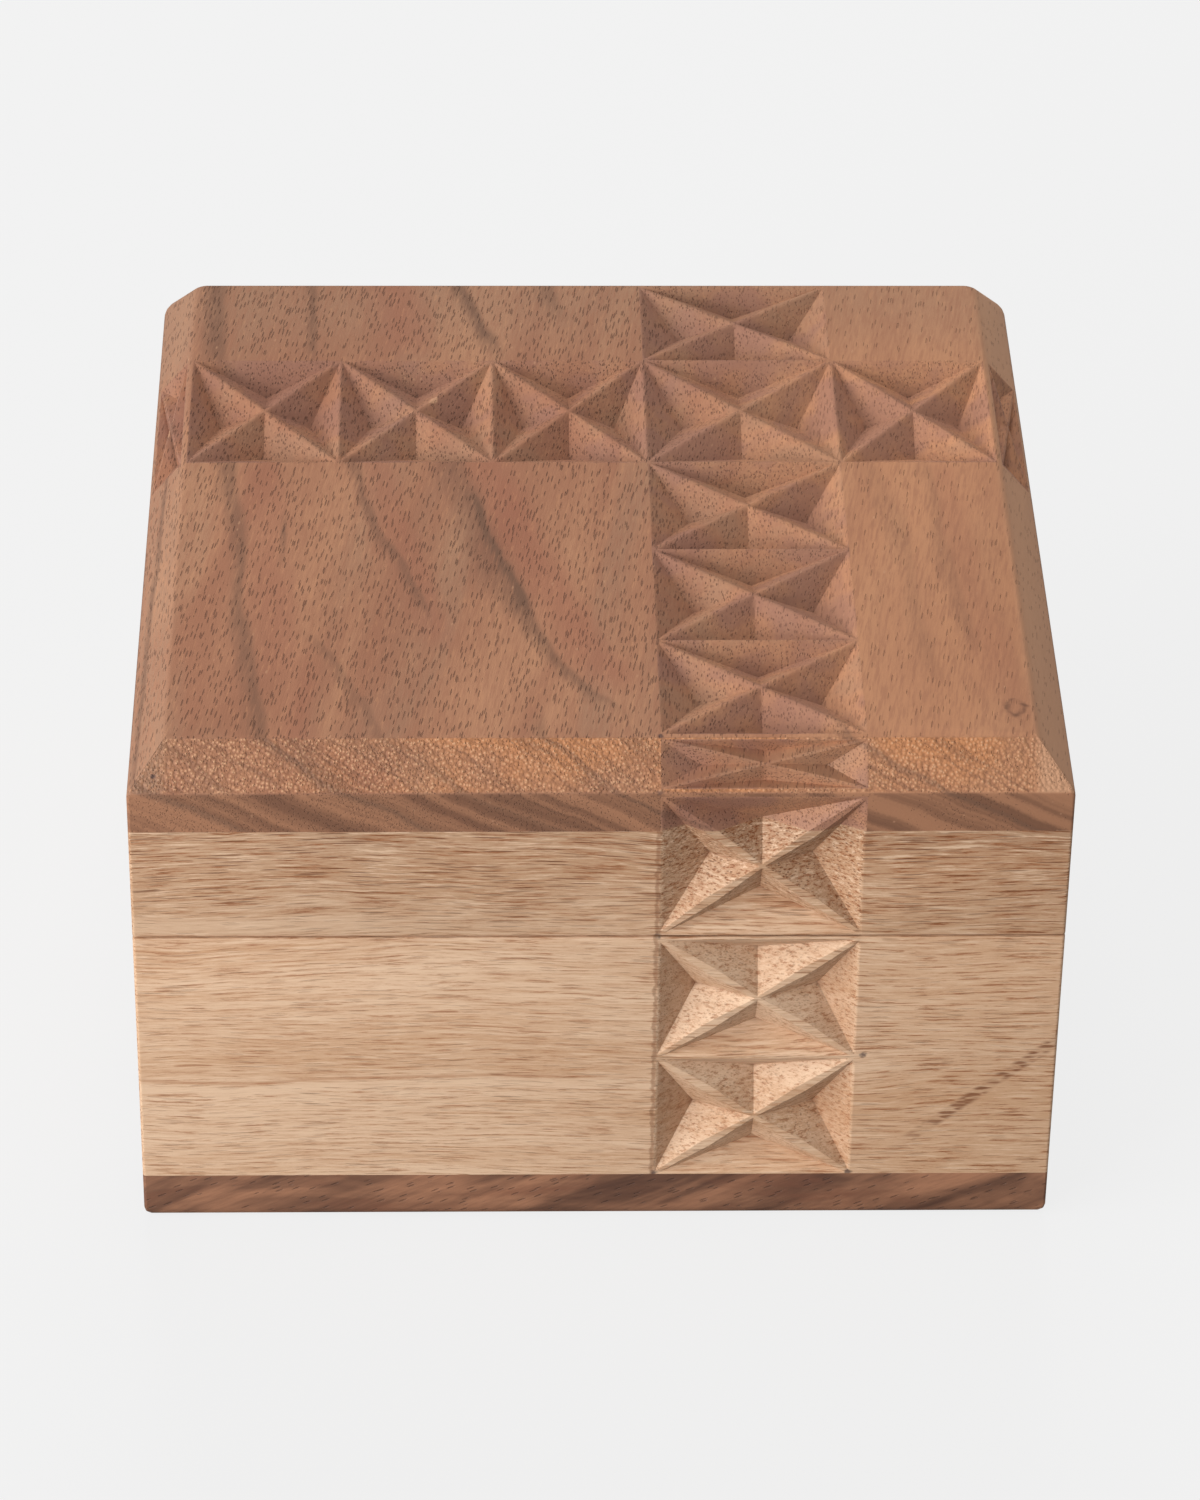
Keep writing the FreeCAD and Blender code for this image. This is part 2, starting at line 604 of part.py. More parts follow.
for cheek, direction in {"left": -1, "right": 1}.items():
    near = f"dims.pin_x + {direction} * dims.cheek_gap / 2"
    far = f"dims.pin_x + {direction} * (dims.cheek_gap / 2 + dims.cheek_width)"
    low_x, high_x = (far, near) if direction < 0 else (near, far)
    cheek_block = block(
        f"cheek_{cheek}_blank",
        (low_x, f"-{INNER}", LID_BOTTOM),
        (high_x, f"-{INNER} + dims.post_width", BOARD_BOTTOM),
    )
    piece(cheek_block, f"lock_cheek_{cheek}")

# The pivot: a dowel glued into the lid, held down by a pinned collar under the inner floor

COLLAR_TOP = f"({FLOOR_BOTTOM} - dims.collar_gap)"
COLLAR_BOTTOM = f"({COLLAR_TOP} - dims.collar_thickness)"
CROSS_PIN_Z = f"({COLLAR_TOP} - dims.collar_thickness / 2)"
CROSS_PIN_HOLE = "dims.cross_pin_radius + dims.glue_gap"
HOLE_LENGTH = "2 * dims.cross_pin_length"
cross_hole = cross_rod("cross_hole", PIVOT_X, PIVOT_Y, CROSS_PIN_Z, HOLE_LENGTH, CROSS_PIN_HOLE)
dowel_rod = rod("dowel_rod", PIVOT_X, PIVOT_Y, COLLAR_BOTTOM, DOWEL_TOP, "dims.dowel_radius")
piece(cut("drilled_dowel", dowel_rod, cross_hole), "pivot_dowel")
collar_disc = rod("collar_disc", PIVOT_X, PIVOT_Y, COLLAR_BOTTOM, COLLAR_TOP, "dims.collar_radius")
collar_bore = rod("collar_bore", PIVOT_X, PIVOT_Y, 0, FLOOR_TOP, "dims.dowel_radius + dims.glue_gap")
piece(cut("drilled_collar", collar_disc, collar_bore, cross_hole), "pivot_collar")
cross_pin = cross_rod(
    "cross_pin_rod", PIVOT_X, PIVOT_Y, CROSS_PIN_Z, "dims.cross_pin_length", "dims.cross_pin_radius"
)
piece(cross_pin, "collar_cross_pin")

# Checks, then one file for each piece

doc.recompute()
for feature in doc.Objects:
    if {"Invalid", "Error"} & set(feature.State):
        raise RuntimeError(f"{feature.Name} failed: {feature.State}")
for finished in pieces:
    if finished.Shape.isNull() or not finished.Shape.isValid() or not finished.Shape.Solids:
        raise RuntimeError(f"{finished.Label} is not a valid solid")

os.makedirs("parts", exist_ok=True)
for finished in pieces:
    finished.Shape.exportStep(f"parts/{finished.Label}.step")

# The lid's swing ends where the stop peg meets the back wall
reach = value("dims.stop_circle")
closed = math.atan2(value(STOP_Y) - value(PIVOT_Y), value(STOP_X) - value(PIVOT_X)) % (2 * math.pi)
room = value(f"{INNER} - {PIVOT_Y} - dims.stop_radius - dims.stop_gap")
swing = math.degrees(2 * math.pi + math.asin(room / reach) - closed)
print(f"{len(pieces)} pieces; the lid swings {swing:.1f} degrees")
print(f"pivot at {value(PIVOT_X):.2f}, {value(PIVOT_Y):.2f}")
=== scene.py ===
import json
import math

import bpy
from mathutils import Matrix, Vector


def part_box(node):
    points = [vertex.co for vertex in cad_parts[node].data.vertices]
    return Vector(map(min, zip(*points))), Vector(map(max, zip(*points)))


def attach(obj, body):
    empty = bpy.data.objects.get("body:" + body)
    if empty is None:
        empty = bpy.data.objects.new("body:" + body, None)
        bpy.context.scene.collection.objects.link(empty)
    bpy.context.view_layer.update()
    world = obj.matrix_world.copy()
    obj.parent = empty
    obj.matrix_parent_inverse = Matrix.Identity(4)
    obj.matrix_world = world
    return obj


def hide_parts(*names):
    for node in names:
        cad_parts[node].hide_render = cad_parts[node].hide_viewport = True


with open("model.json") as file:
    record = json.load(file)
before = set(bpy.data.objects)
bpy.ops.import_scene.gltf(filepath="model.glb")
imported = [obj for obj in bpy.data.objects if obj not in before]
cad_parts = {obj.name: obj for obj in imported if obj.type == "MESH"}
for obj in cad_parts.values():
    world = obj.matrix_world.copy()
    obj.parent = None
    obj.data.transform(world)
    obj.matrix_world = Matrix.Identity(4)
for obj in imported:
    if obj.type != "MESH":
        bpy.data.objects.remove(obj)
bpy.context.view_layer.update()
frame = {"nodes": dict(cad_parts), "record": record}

# Base board
# A thick dark heartwood board with its lower edges rounded over by hand, glued under the walls.
# A dovetail groove is ploughed into its underside for the hidden panel, with a slot for the button.

MM = 0.001
SHARP_ANGLE = math.radians(35)
FLAT_ANGLE = math.radians(1)
WELD_ROOM = 0.001
ARRIS_STEPS = 2
WAX_GLEAM = 0.3
PLANED_RELIEF = 0.08


class Wire:
    """A shader socket. Python's operators join it to others through Math nodes."""

    def __init__(self, tree, socket):
        self.tree = tree
        self.socket = socket

    def node(self, kind, settings=None, inputs=None, output=0):
        """Adds any node: its settings first, then its sockets' values or links, by name or number."""
        node = self.tree.nodes.new(kind)
        for name, setting in (settings or {}).items():
            setattr(node, name, setting)
        for name, entry in (inputs or {}).items():
            if isinstance(entry, Wire):
                self.tree.links.new(entry.socket, node.inputs[name])
            else:
                node.inputs[name].default_value = entry
        return Wire(self.tree, node.outputs[output])

    def maths(self, operation, *terms):
        return self.node("ShaderNodeMath", {"operation": operation}, dict(enumerate(terms)))

    def __add__(self, other):
        return self.maths("ADD", self, other)

    __radd__ = __add__

    def __mul__(self, other):
        return self.maths("MULTIPLY", self, other)

    __rmul__ = __mul__

    def __sub__(self, other):
        return self.maths("SUBTRACT", self, other)

    def __rsub__(self, other):
        return self.maths("SUBTRACT", other, self)

    def __truediv__(self, other):
        return self.maths("DIVIDE", self, other)

    def __rtruediv__(self, other):
        return self.maths("DIVIDE", other, self)

    def __abs__(self):
        return self.maths("ABSOLUTE", self)

    def larger(self, other):
        return self.maths("MAXIMUM", self, other)

    def smaller(self, other):
        return self.maths("MINIMUM", self, other)

    def ramp(self, low, high):
        """0 below low, 1 above high, smooth between. Low may be the larger."""
        limits = {"Value": self, "From Min": low, "From Max": high}
        return self.node("ShaderNodeMapRange", {"interpolation_type": "SMOOTHSTEP"}, limits)

    def mix(self, first, second):
        """Two colours mixed by this value."""
        return self.node("ShaderNodeMix", {"data_type": "RGBA"}, {0: self, 6: first, 7: second}, 2)

    def part(self, axis):
        """One of a vector's three numbers."""
        return self.node("ShaderNodeSeparateXYZ", {}, {0: self}, "XYZ".index(axis))

    def length(self):
        """How long a vector is."""
        return self.node("ShaderNodeVectorMath", {"operation": "LENGTH"}, {0: self}, "Value")

    def moved(self, x, y, z):
        """A vector moved along its axes."""
        inputs = {"Vector": self, "Location": (x, y, z)}
        return self.node("ShaderNodeMapping", {"vector_type": "POINT"}, inputs)

    def times(self, x, y, z):
        """A vector stretched along its axes."""
        return self.node("ShaderNodeVectorMath", {"operation": "MULTIPLY"}, {0: self, 1: (x, y, z)})

    def noise(self, detail=2.0, roughness=0.5, distortion=0.0):
        """Soft noise from 0 to 1 at this place, one lump per unit."""
        inputs = {"Vector": self, "Scale": 1.0, "Detail": detail}
        inputs.update({"Roughness": roughness, "Distortion": distortion})
        return self.node("ShaderNodeTexNoise", {}, inputs)

    def cells(self):
        """Distance to the nearest of many scattered points, about one per unit."""
        return self.node("ShaderNodeTexVoronoi", {}, {"Vector": self, "Scale": 1.0})

    def cell_number(self):
        """A random number from 0 to 1 for each of the same scattered points."""
        colour = self.node("ShaderNodeTexVoronoi", {}, {"Vector": self, "Scale": 1.0}, 1)
        return colour.part("X")


def colour(red, green, blue):
    """A colour given as it looks on screen, from 0 to 255, as the shader's linear numbers."""
    return tuple(((c / 255 + 0.055) / 1.055) ** 2.4 for c in (red, green, blue)) + (1.0,)


def new_material(name):
    """An empty material, its finish and a place in it in millimetres."""
    material = bpy.data.materials.new(name)
    material.use_nodes = True
    finish = material.node_tree.nodes["Principled BSDF"]
    start = Wire(material.node_tree, None)
    place = start.node("ShaderNodeTexCoord", {}, {}, "Object").times(1 / MM, 1 / MM, 1 / MM)
    return material, finish, place


def grain_place(place, turn):
    """The same place in a board's own directions: X along the grain. Turn is in degrees."""
    angles = tuple(math.radians(a) for a in turn)
    return place.node("ShaderNodeMapping", {"vector_type": "POINT"}, {"Vector": place, "Rotation": angles})


def pores(grain, length, width, share):
    """Open vessels cut by the surface: dashes along the grain, dots on end grain."""
    seed = grain.times(1 / length, 1 / width, 1 / width)
    shape = seed.cells().ramp(0.3, 0.17)
    return shape * seed.cell_number().ramp(1 - share, 1.02 - share)


def finish_wood(material, finish, tint, height, rough, relief):
    """Joins colour, roughness and relief to the finish. Relief is the bump's height in millimetres."""
    links = material.node_tree.links
    links.new(tint.socket, finish.inputs["Base Color"])
    links.new(rough.socket, finish.inputs["Roughness"])
    bump = height.node("ShaderNodeBump", {}, {"Strength": 1.0, "Distance": relief * MM, "Height": height})
    links.new(bump.socket, finish.inputs["Normal"])
    finish.inputs["Specular IOR Level"].default_value = WAX_GLEAM
    return material


def make_active(piece):
    """Selects one piece and nothing else."""
    bpy.ops.object.select_all(action="DESELECT")
    piece.select_set(True)
    bpy.context.view_layer.objects.active = piece


def smooth_shading(piece):
    """Smooth faces with crisp arrises."""
    make_active(piece)
    bpy.ops.object.shade_smooth_by_angle(angle=SHARP_ANGLE)


def dress(piece, node, material):
    """Gives a finished piece its wood and puts it in its node's place."""
    smooth_shading(piece)
    piece.data.materials.clear()
    piece.data.materials.append(material)
    body = next(b for b, nodes in frame["record"]["behaviour"]["bodies"].items() if node in nodes)
    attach(piece, body)
    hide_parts(node)


def add_bevel(piece, width):
    """Takes a piece's arrises off."""
    make_active(piece)
    bevel = piece.modifiers.new("arris", "BEVEL")
    bevel.width = width * MM
    bevel.segments = ARRIS_STEPS
    bevel.limit_method = "ANGLE"
    bevel.angle_limit = SHARP_ANGLE
    bpy.ops.object.modifier_apply(modifier=bevel.name)


def copy_of(piece, name):
    """A copy with its own mesh."""
    twin = bpy.data.objects.new(name, piece.data.copy())
    bpy.context.scene.collection.objects.link(twin)
    return twin


def eased_copy(node, ease):
    """The node's own solid with its arrises taken off, as a few strokes of sandpaper leave them."""
    piece = copy_of(frame["nodes"][node], f"{node}_eased")
    make_active(piece)
    bpy.ops.object.mode_set(mode="EDIT")
    bpy.ops.mesh.select_all(action="SELECT")
    bpy.ops.mesh.remove_doubles(threshold=WELD_ROOM * MM)
    bpy.ops.mesh.dissolve_limited(angle_limit=FLAT_ANGLE)
    bpy.ops.object.mode_set(mode="OBJECT")
    add_bevel(piece, ease)
    return piece


BASE_BROWN = colour(178, 127, 97)
BASE_DARK = colour(92, 64, 52)
BASE_RED = colour(150, 98, 74)
PORE_BROWN = colour(70, 48, 40)


def base_material():
    """Dark heartwood with a lively figure: streaks that rise to the right, as the board was cut aslant."""
    material, finish, place = new_material("base heartwood")
    grain = grain_place(place, (0, 24, 0))
    figure = grain.times(0.025, 0.32, 0.2).noise(4.0, 0.6, 0.6)
    mottle = place.moved(9.0, 5.0, 3.0).times(0.045, 0.25, 0.2).noise(3.0, 0.6, 0.6)
    fibre = grain.times(0.3, 2.6, 2.6).noise(3.0, 0.6)
    holes = pores(grain, 2.4, 0.42, 0.5)
    tint = (figure * 0.65 + mottle * 0.35).ramp(0.36, 0.66).mix(BASE_BROWN, BASE_DARK)
    tint = (mottle.ramp(0.5, 0.75) * 0.5).mix(tint, BASE_RED)
    tint = (fibre.ramp(0.4, 0.8) * 0.3).mix(tint, BASE_DARK)
    tint = (holes * 0.4).mix(tint, PORE_BROWN)
    height = fibre * 0.3 - holes
    rough = 0.5 + fibre * 0.15
    return finish_wood(material, finish, tint, height, rough, PLANED_RELIEF)


base_wood = base_material()
BOX_HALF = round(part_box("base_board")[1][0] / MM, 3)
SAME_PLACE = 0.01  # points nearer than this count as one
CORNER_ROUND = 0.45
BACK_ROUND = 3.2
CORNER_STEPS = 6  # an even number, so that the mitres run along an edge
BASE_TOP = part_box("base_board")[1][2] / MM
BASE_EASE = 0.1
BASE_RIM = 1.7
BASE_RIM_STEPS = 4
WEAR_ROOM = 0.01  # keeps the faces that are not worn apart from those of the board


def block(name, low, high, room=0.0):
    """A plain block between two heights, the full width of the box, with some room added all round."""
    bpy.ops.object.select_all(action="DESELECT")
    middle = (0, 0, (low + high) / 2 * MM)
    bpy.ops.mesh.primitive_cube_add(size=1, location=middle)
    piece = bpy.context.object
    piece.name = name
    width = 2 * (BOX_HALF + room) * MM
    piece.scale = (width, width, (high - low + 2 * room) * MM)
    bpy.ops.object.transform_apply(location=True, rotation=True, scale=True)
    return piece


def edge_ends(piece, edge):
    """The two ends of an edge, in millimetres."""
    return [piece.data.vertices[v].co / MM for v in edge.vertices]


def round_corners(piece, radius_of, segments):
    """Rounds each edge by the radius that a rule gives for its two ends, all at once."""
    old = piece.data.attributes.get("bevel_weight_edge")
    if old:
        piece.data.attributes.remove(old)
    weights = piece.data.attributes.new("bevel_weight_edge", "FLOAT", "EDGE")
    radii = [radius_of(*edge_ends(piece, edge)) for edge in piece.data.edges]
    for entry, radius in zip(weights.data, radii):
        entry.value = radius / max(radii)
    make_active(piece)
    rounding = piece.modifiers.new("rounded corners", "BEVEL")
    rounding.limit_method = "WEIGHT"
    rounding.width = max(radii) * MM
    rounding.segments = segments
    rounding.use_clamp_overlap = False
    bpy.ops.object.modifier_apply(modifier=rounding.name)


def corner_radius(start, end):
    """The sanded upright corners: crisp in front, rounder behind."""
    on_diagonal = all(abs(abs(p.x) - abs(p.y)) < SAME_PLACE for p in (start, end))
    if not on_diagonal or abs(start.z - end.z) < SAME_PLACE:
        return 0.0
    return CORNER_ROUND if start.y < 0 else BACK_ROUND


def foot_radius(start, end):
    """How round the foot of the base is worn."""
    return BASE_RIM if max(start.z, end.z) < 0 else 0.0


base_piece = eased_copy("base_board", BASE_EASE)
worn_block = block("worn_block", 0.0, BASE_TOP, room=WEAR_ROOM)
round_corners(worn_block, foot_radius, BASE_RIM_STEPS)
round_corners(worn_block, corner_radius, CORNER_STEPS)
make_active(base_piece)
wear = base_piece.modifiers.new("worn foot", "BOOLEAN")
wear.operation = "INTERSECT"
wear.solver = "MANIFOLD"
wear.object = worn_block
bpy.ops.object.modifier_apply(modifier=wear.name)
bpy.data.objects.remove(worn_block)
dress(base_piece, "base_board", base_wood)

# Hidden panel
# A thin dovetailed slip of the same heartwood that slides in the groove, with a hollow for a fingertip.
# Nothing fixes it but the groove and a peg that keeps it from coming out.

PANEL_EASE = 0.2

dress(eased_copy("base_panel", PANEL_EASE), "base_panel", base_wood)

# Case walls
# Light tan boards mitred at the corners. The glued-up frame was carved with crossed chips, one above
# the other on each side like the ends of a ribbon, and was then sawn from the lid along the seam.

INNER_HALF = -round(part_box("front_wall")[1][1] / MM, 3)
RIM_EASE = 0.18
RIBBON_X = (7.5, 33.7)
RIBBON_Y = (8.6, 34.8)
CASE_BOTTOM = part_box("front_wall")[0][2] / MM
CASE_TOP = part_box("front_wall")[1][2] / MM
CASE_ROW = (CASE_BOTTOM + CASE_TOP) / 2
CHIP_DEPTH = 3.5
RIDGE_LAND = 0.2
LEAF_SWELL = 0.5
SHORTEST_RIDGE = 2.5
SMALLEST_CELL = 20.0  # square millimetres: narrower strips are the eased rims
CUT_ROOM = 0.002  # points this near to a cut count as lying on it
FACING_UP = 0.95
SIDES = {"front": 0, "right": 90, "back": 180, "left": 270}


def pick(piece, kind, test):
    """Enters edit mode with only those faces or edges selected that pass a test."""
    make_active(piece)
    mesh = piece.data
    for items in (mesh.vertices, mesh.edges, mesh.polygons):
        items.foreach_set("select", [False] * len(items))
    modes = {"edges": (False, True, False), "polygons": (False, False, True)}
    bpy.context.tool_settings.mesh_select_mode = modes[kind]
    for item in getattr(mesh, kind):
        item.select = test(item)
    bpy.ops.object.mode_set(mode="EDIT")


def bevel_edges(piece, test, width, segments):
    """Rounds the edges whose two ends pass a test."""
    pick(piece, "edges", lambda e: test(*edge_ends(piece, e)))
    bpy.ops.mesh.bevel(offset=width * MM, segments=segments, affect="EDGES", profile=0.5)
    bpy.ops.object.mode_set(mode="OBJECT")


def slice_at(piece, axis, places):
    """Scores a piece all round at some places along an axis."""
    make_active(piece)
    bpy.ops.object.mode_set(mode="EDIT")
    normal = tuple(float(axis == name) for name in "XYZ")
    for place in places:
        bpy.ops.mesh.select_all(action="SELECT")
        bpy.ops.mesh.bisect(plane_co=tuple(n * place * MM for n in normal), plane_no=normal)
    bpy.ops.object.mode_set(mode="OBJECT")


def in_ribbon(middle, normal):
    """Whether a face lies on the ribbon: under its two runs on top, or on its way down a side."""
    on_x = RIBBON_X[0] < middle.x < RIBBON_X[1]
    on_y = RIBBON_Y[0] < middle.y < RIBBON_Y[1]
    if normal.z > FACING_UP:
        return on_x or on_y
    if abs(normal.y) > abs(normal.x):
        return on_x
    return on_y


def ridge_lean(face, start, end):
    """Which way a line across a cell leans: 1 or -1, and 0 if it runs along the cell's border."""
    level = Vector((0, 0, 1)).cross(face.normal)
    if level.length < 0.1:
        level = Vector((1, 0, 0))
    rise = face.normal.cross(level)
    run = (end - start).normalized()
    slant = run.dot(level.normalized()) * run.dot(rise.normalized())
    return 0 if abs(slant) < 0.1 else int(math.copysign(1, slant))


def split_ridges(piece, kind, lean):
    """Adds a point at the middle of each ridge of one lean, on its line and on both its sides."""
    mesh = piece.data
    kinds = [entry.value for entry in mesh.attributes["carved"].data]
    ridges = set()
    for face in mesh.polygons:
        if kinds[face.index] == kind:
            for key in face.edge_keys:
                start, end = (mesh.vertices[v].co / MM for v in key)
                if (end - start).length > SHORTEST_RIDGE and ridge_lean(face, start, end) == lean:
                    ridges.add(key)
    pick(piece, "edges", lambda edge: edge.key in ridges)
    bpy.ops.mesh.subdivide(number_cuts=1)
    bpy.ops.object.mode_set(mode="OBJECT")


def carve(piece, kind, depth, land, leaf, middle_mode):
    """Cuts four three-sided chips into each cell of one kind. The lands left between swell like a leaf."""
    mesh = piece.data
    kinds = [entry.value for entry in mesh.attributes["carved"].data]
    pick(piece, "polygons", lambda face: kinds[face.index] == kind)
    bpy.ops.mesh.poke()
    bpy.ops.mesh.inset(thickness=land * MM, use_individual=True)
    bpy.ops.object.mode_set(mode="OBJECT")
    chip_note = mesh.attributes.new("chip", "INT", "FACE")
    chip_note.data.foreach_set("value", [int(face.select) for face in mesh.polygons])
    corners = len(mesh.vertices)
    for lean in (1, -1):
        split_ridges(piece, kind, lean)
    is_chip = [entry.value > 0 for entry in mesh.attributes["chip"].data]
    for face in mesh.polygons:
        if is_chip[face.index]:
            middle = face.center.copy()
            for v in face.vertices:
                if v >= corners:
                    point = mesh.vertices[v]
                    point.co += (middle - point.co).normalized() * leaf * MM
    pick(piece, "polygons", lambda face: is_chip[face.index])
    bpy.ops.mesh.poke(offset=-depth * MM, center_mode=middle_mode)
    bpy.ops.object.mode_set(mode="OBJECT")
    mesh.attributes.remove(mesh.attributes["chip"])


NOT_CARVED, UPRIGHT_CELL, BEVEL_CELL, TOP_CELL = range(4)


def cell_kind(face):
    """What kind of cell of the ribbon a face is, if any."""
    if face.area / MM ** 2 < SMALLEST_CELL or not in_ribbon(face.center / MM, face.normal):
        return NOT_CARVED
    if face.normal.z < -0.5:
        return NOT_CARVED
    if face.normal.z < 0.1:
        return UPRIGHT_CELL
    return TOP_CELL if face.normal.z > FACING_UP else BEVEL_CELL


def mark_cells(piece):
    """Notes on each face what kind of cell it is. The facets cut from a cell inherit the note."""
    note = piece.data.attributes.new("carved", "INT", "FACE")
    for face in piece.data.polygons:
        note.data[face.index].value = cell_kind(face)


FINE_CUTS = 15
LONG_EDGE = 1.3
RIDGE_WEAR = 0.22
WAVER_SIZE = 2.8
WAVER_DEPTH = 0.1


def carved_faces(mesh):
    """For each face of a mesh, whether it belongs to the carving."""
    return [entry.value != NOT_CARVED for entry in mesh.attributes["carved"].data]


def divide_facets(piece):
    """Divides the facets of the carving finely."""
    carved = carved_faces(piece.data)
    inside = {key for face in piece.data.polygons if carved[face.index] for key in face.edge_keys}

    def is_facet_edge(edge):
        start, end = edge_ends(piece, edge)
        return edge.key in inside and (start - end).length > LONG_EDGE

    pick(piece, "edges", is_facet_edge)
    bpy.ops.mesh.subdivide(number_cuts=FINE_CUTS)
    bpy.ops.object.mode_set(mode="OBJECT")


def wear_carving(piece):
    """Softens the ridges and gives the facets a hand-cut waver that stays inside the box."""
    mesh = piece.data
    carved = carved_faces(mesh)
    outside = {v for face in mesh.polygons if not carved[face.index] for v in face.vertices}
    group = piece.vertex_groups.new(name="carving")
    group.add([v.index for v in mesh.vertices if v.index not in outside], 1.0, "REPLACE")
    make_active(piece)
    soften = piece.modifiers.new("worn ridges", "SMOOTH")
    soften.vertex_group = group.name
    soften.factor = RIDGE_WEAR
    soften.iterations = 1
    bpy.ops.object.modifier_apply(modifier=soften.name)
    ripple = bpy.data.textures.new("knife waver", "CLOUDS")
    ripple.noise_scale = WAVER_SIZE * MM
    ripple.noise_depth = 2
    waver = piece.modifiers.new("knife waver", "DISPLACE")
    waver.texture = ripple
    waver.texture_coords = "LOCAL"
    waver.vertex_group = group.name
    waver.strength = WAVER_DEPTH * MM
    waver.mid_level = 0.5
    bpy.ops.object.modifier_apply(modifier=waver.name)
    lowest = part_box("base_board")[0]
    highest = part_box("lid_top_board")[1]
    for point in mesh.vertices:
        point.co = [min(max(c, low), high) for c, low, high in zip(point.co, lowest, highest)]


def sharpen_border(piece):
    """Makes the border of the carving a sharp edge, so that the plain faces round it stay flat."""
    carved = carved_faces(piece.data)
    kinds_at_edge = {}
    for face in piece.data.polygons:
        for key in face.edge_keys:
            kinds_at_edge.setdefault(key, set()).add(carved[face.index])
    pick(piece, "edges", lambda edge: len(kinds_at_edge[edge.key]) == 2)
    bpy.ops.mesh.mark_sharp()
    bpy.ops.object.mode_set(mode="OBJECT")


def finish_carving(piece):
    """Turns the flat facets of the carving into hand-cut ones."""
    divide_facets(piece)
    wear_carving(piece)
    sharpen_border(piece)


def cut_away(piece, point, normal):
    """Saws off everything on the normal's side of a plane and closes the cut."""
    make_active(piece)
    bpy.ops.object.mode_set(mode="EDIT")
    bpy.ops.mesh.select_all(action="SELECT")
    cut = {"plane_co": tuple(c * MM for c in point), "plane_no": normal, "threshold": CUT_ROOM * MM}
    bpy.ops.mesh.bisect(use_fill=True, clear_outer=True, **cut)
    bpy.ops.object.mode_set(mode="OBJECT")


def stave(source, name, side):
    """One mitred board of a carved block: sawn from the rest along the mitres and hollowed inside."""
    board = copy_of(source, name)
    turn = Matrix.Rotation(math.radians(SIDES[side]), 3, "Z")
    cut_away(board, turn @ Vector((0, -INNER_HALF, 0)), turn @ Vector((0, 1, 0)))
    cut_away(board, (0, 0, 0), turn @ Vector((1, 1, 0)).normalized())
    cut_away(board, (0, 0, 0), turn @ Vector((-1, 1, 0)).normalized())
    return board


def is_level(height):
    """A test for the edges that lie at one height."""
    return lambda start, end: abs(start.z - height) < SAME_PLACE and abs(end.z - height) < SAME_PLACE


WALL_PALE = colour(235, 201, 169)
WALL_TAN = colour(208, 164, 127)
WALL_GREY = colour(178, 141, 112)
DASH_BROWN = colour(172, 114, 75)
DASH_DARK = colour(132, 82, 52)
GRAIN_STEP = {"front": 0.0, "right": 61.0, "back": 122.0, "left": 183.0}  # no two sides look alike
SANDED_RELIEF = 0.09
PALE_LINE = 22.4  # height of a pale line in the front wall
PALE_CORNER = 49.5  # height of a pale patch low in the front rail, on the left
BARK_STREAK = (40.8, 13.0, 59.0, 28.9)  # a slanting line of dark dashes low on the right: ends x, z


def carved_part(place):
    """1 on the chips of the ribbon, 0 elsewhere."""
    return place.node("ShaderNodeAttribute", {"attribute_name": "carved"}, {}, "Fac").ramp(0.1, 0.9)


def ridge_wear_sheen_and_crease_shade(place):
    """How far a spot lies on an arris (towards 1) or in a crease (towards 0), for worn ridges with a
    painted highlight and painted shade in creases.
    """
    return place.node("ShaderNodeNewGeometry", {}, {}, "Pointiness")


def level_facing(place, side):
    """How far a surface faces along the grain of its wall."""
    facing = place.node("ShaderNodeTexCoord", {}, {}, "Normal")
    return facing.part("X" if side in ("front", "back") else "Y")


SPECK_GREY = colour(84, 66, 64)
FRONT_SPECKS = ((34.6, -60.0, 27.4), (7.5, -60.0, 7.6), (33.4, -60.0, 7.6), (7.4, -60.0, 47.0))


def specks(place, points):
    """Small dark marks, such as glue or pencil leaves, at some points."""
    ragged = place.times(1.5, 1.5, 1.5).noise(1.0, 0.5)
    marks = []
    for point in points:
        away = place.moved(*(-c for c in point)).length() + ragged
        marks.append(away.ramp(1.1, 0.6) * 0.8)
    return sum(marks)


def bark_streak(place, level):
    """A slanting line of short dark dashes, low on the right of the front."""
    low_x, low_z, high_x, high_z = BARK_STREAK
    slope = (high_z - low_z) / (high_x - low_x)
    off = place.part("Z") - (place.part("X") - low_x) * slope - low_z
    line = abs(off).ramp(1.5, 0.5) * place.part("X").ramp(low_x - 5.0, low_x + 6.0)
    short_dash = level.moved(3.0, 9.0, 1.7).times(0.3, 0.3, 1.7).cells().ramp(0.55, 0.35)
    return line * (0.14 + short_dash * 0.7)


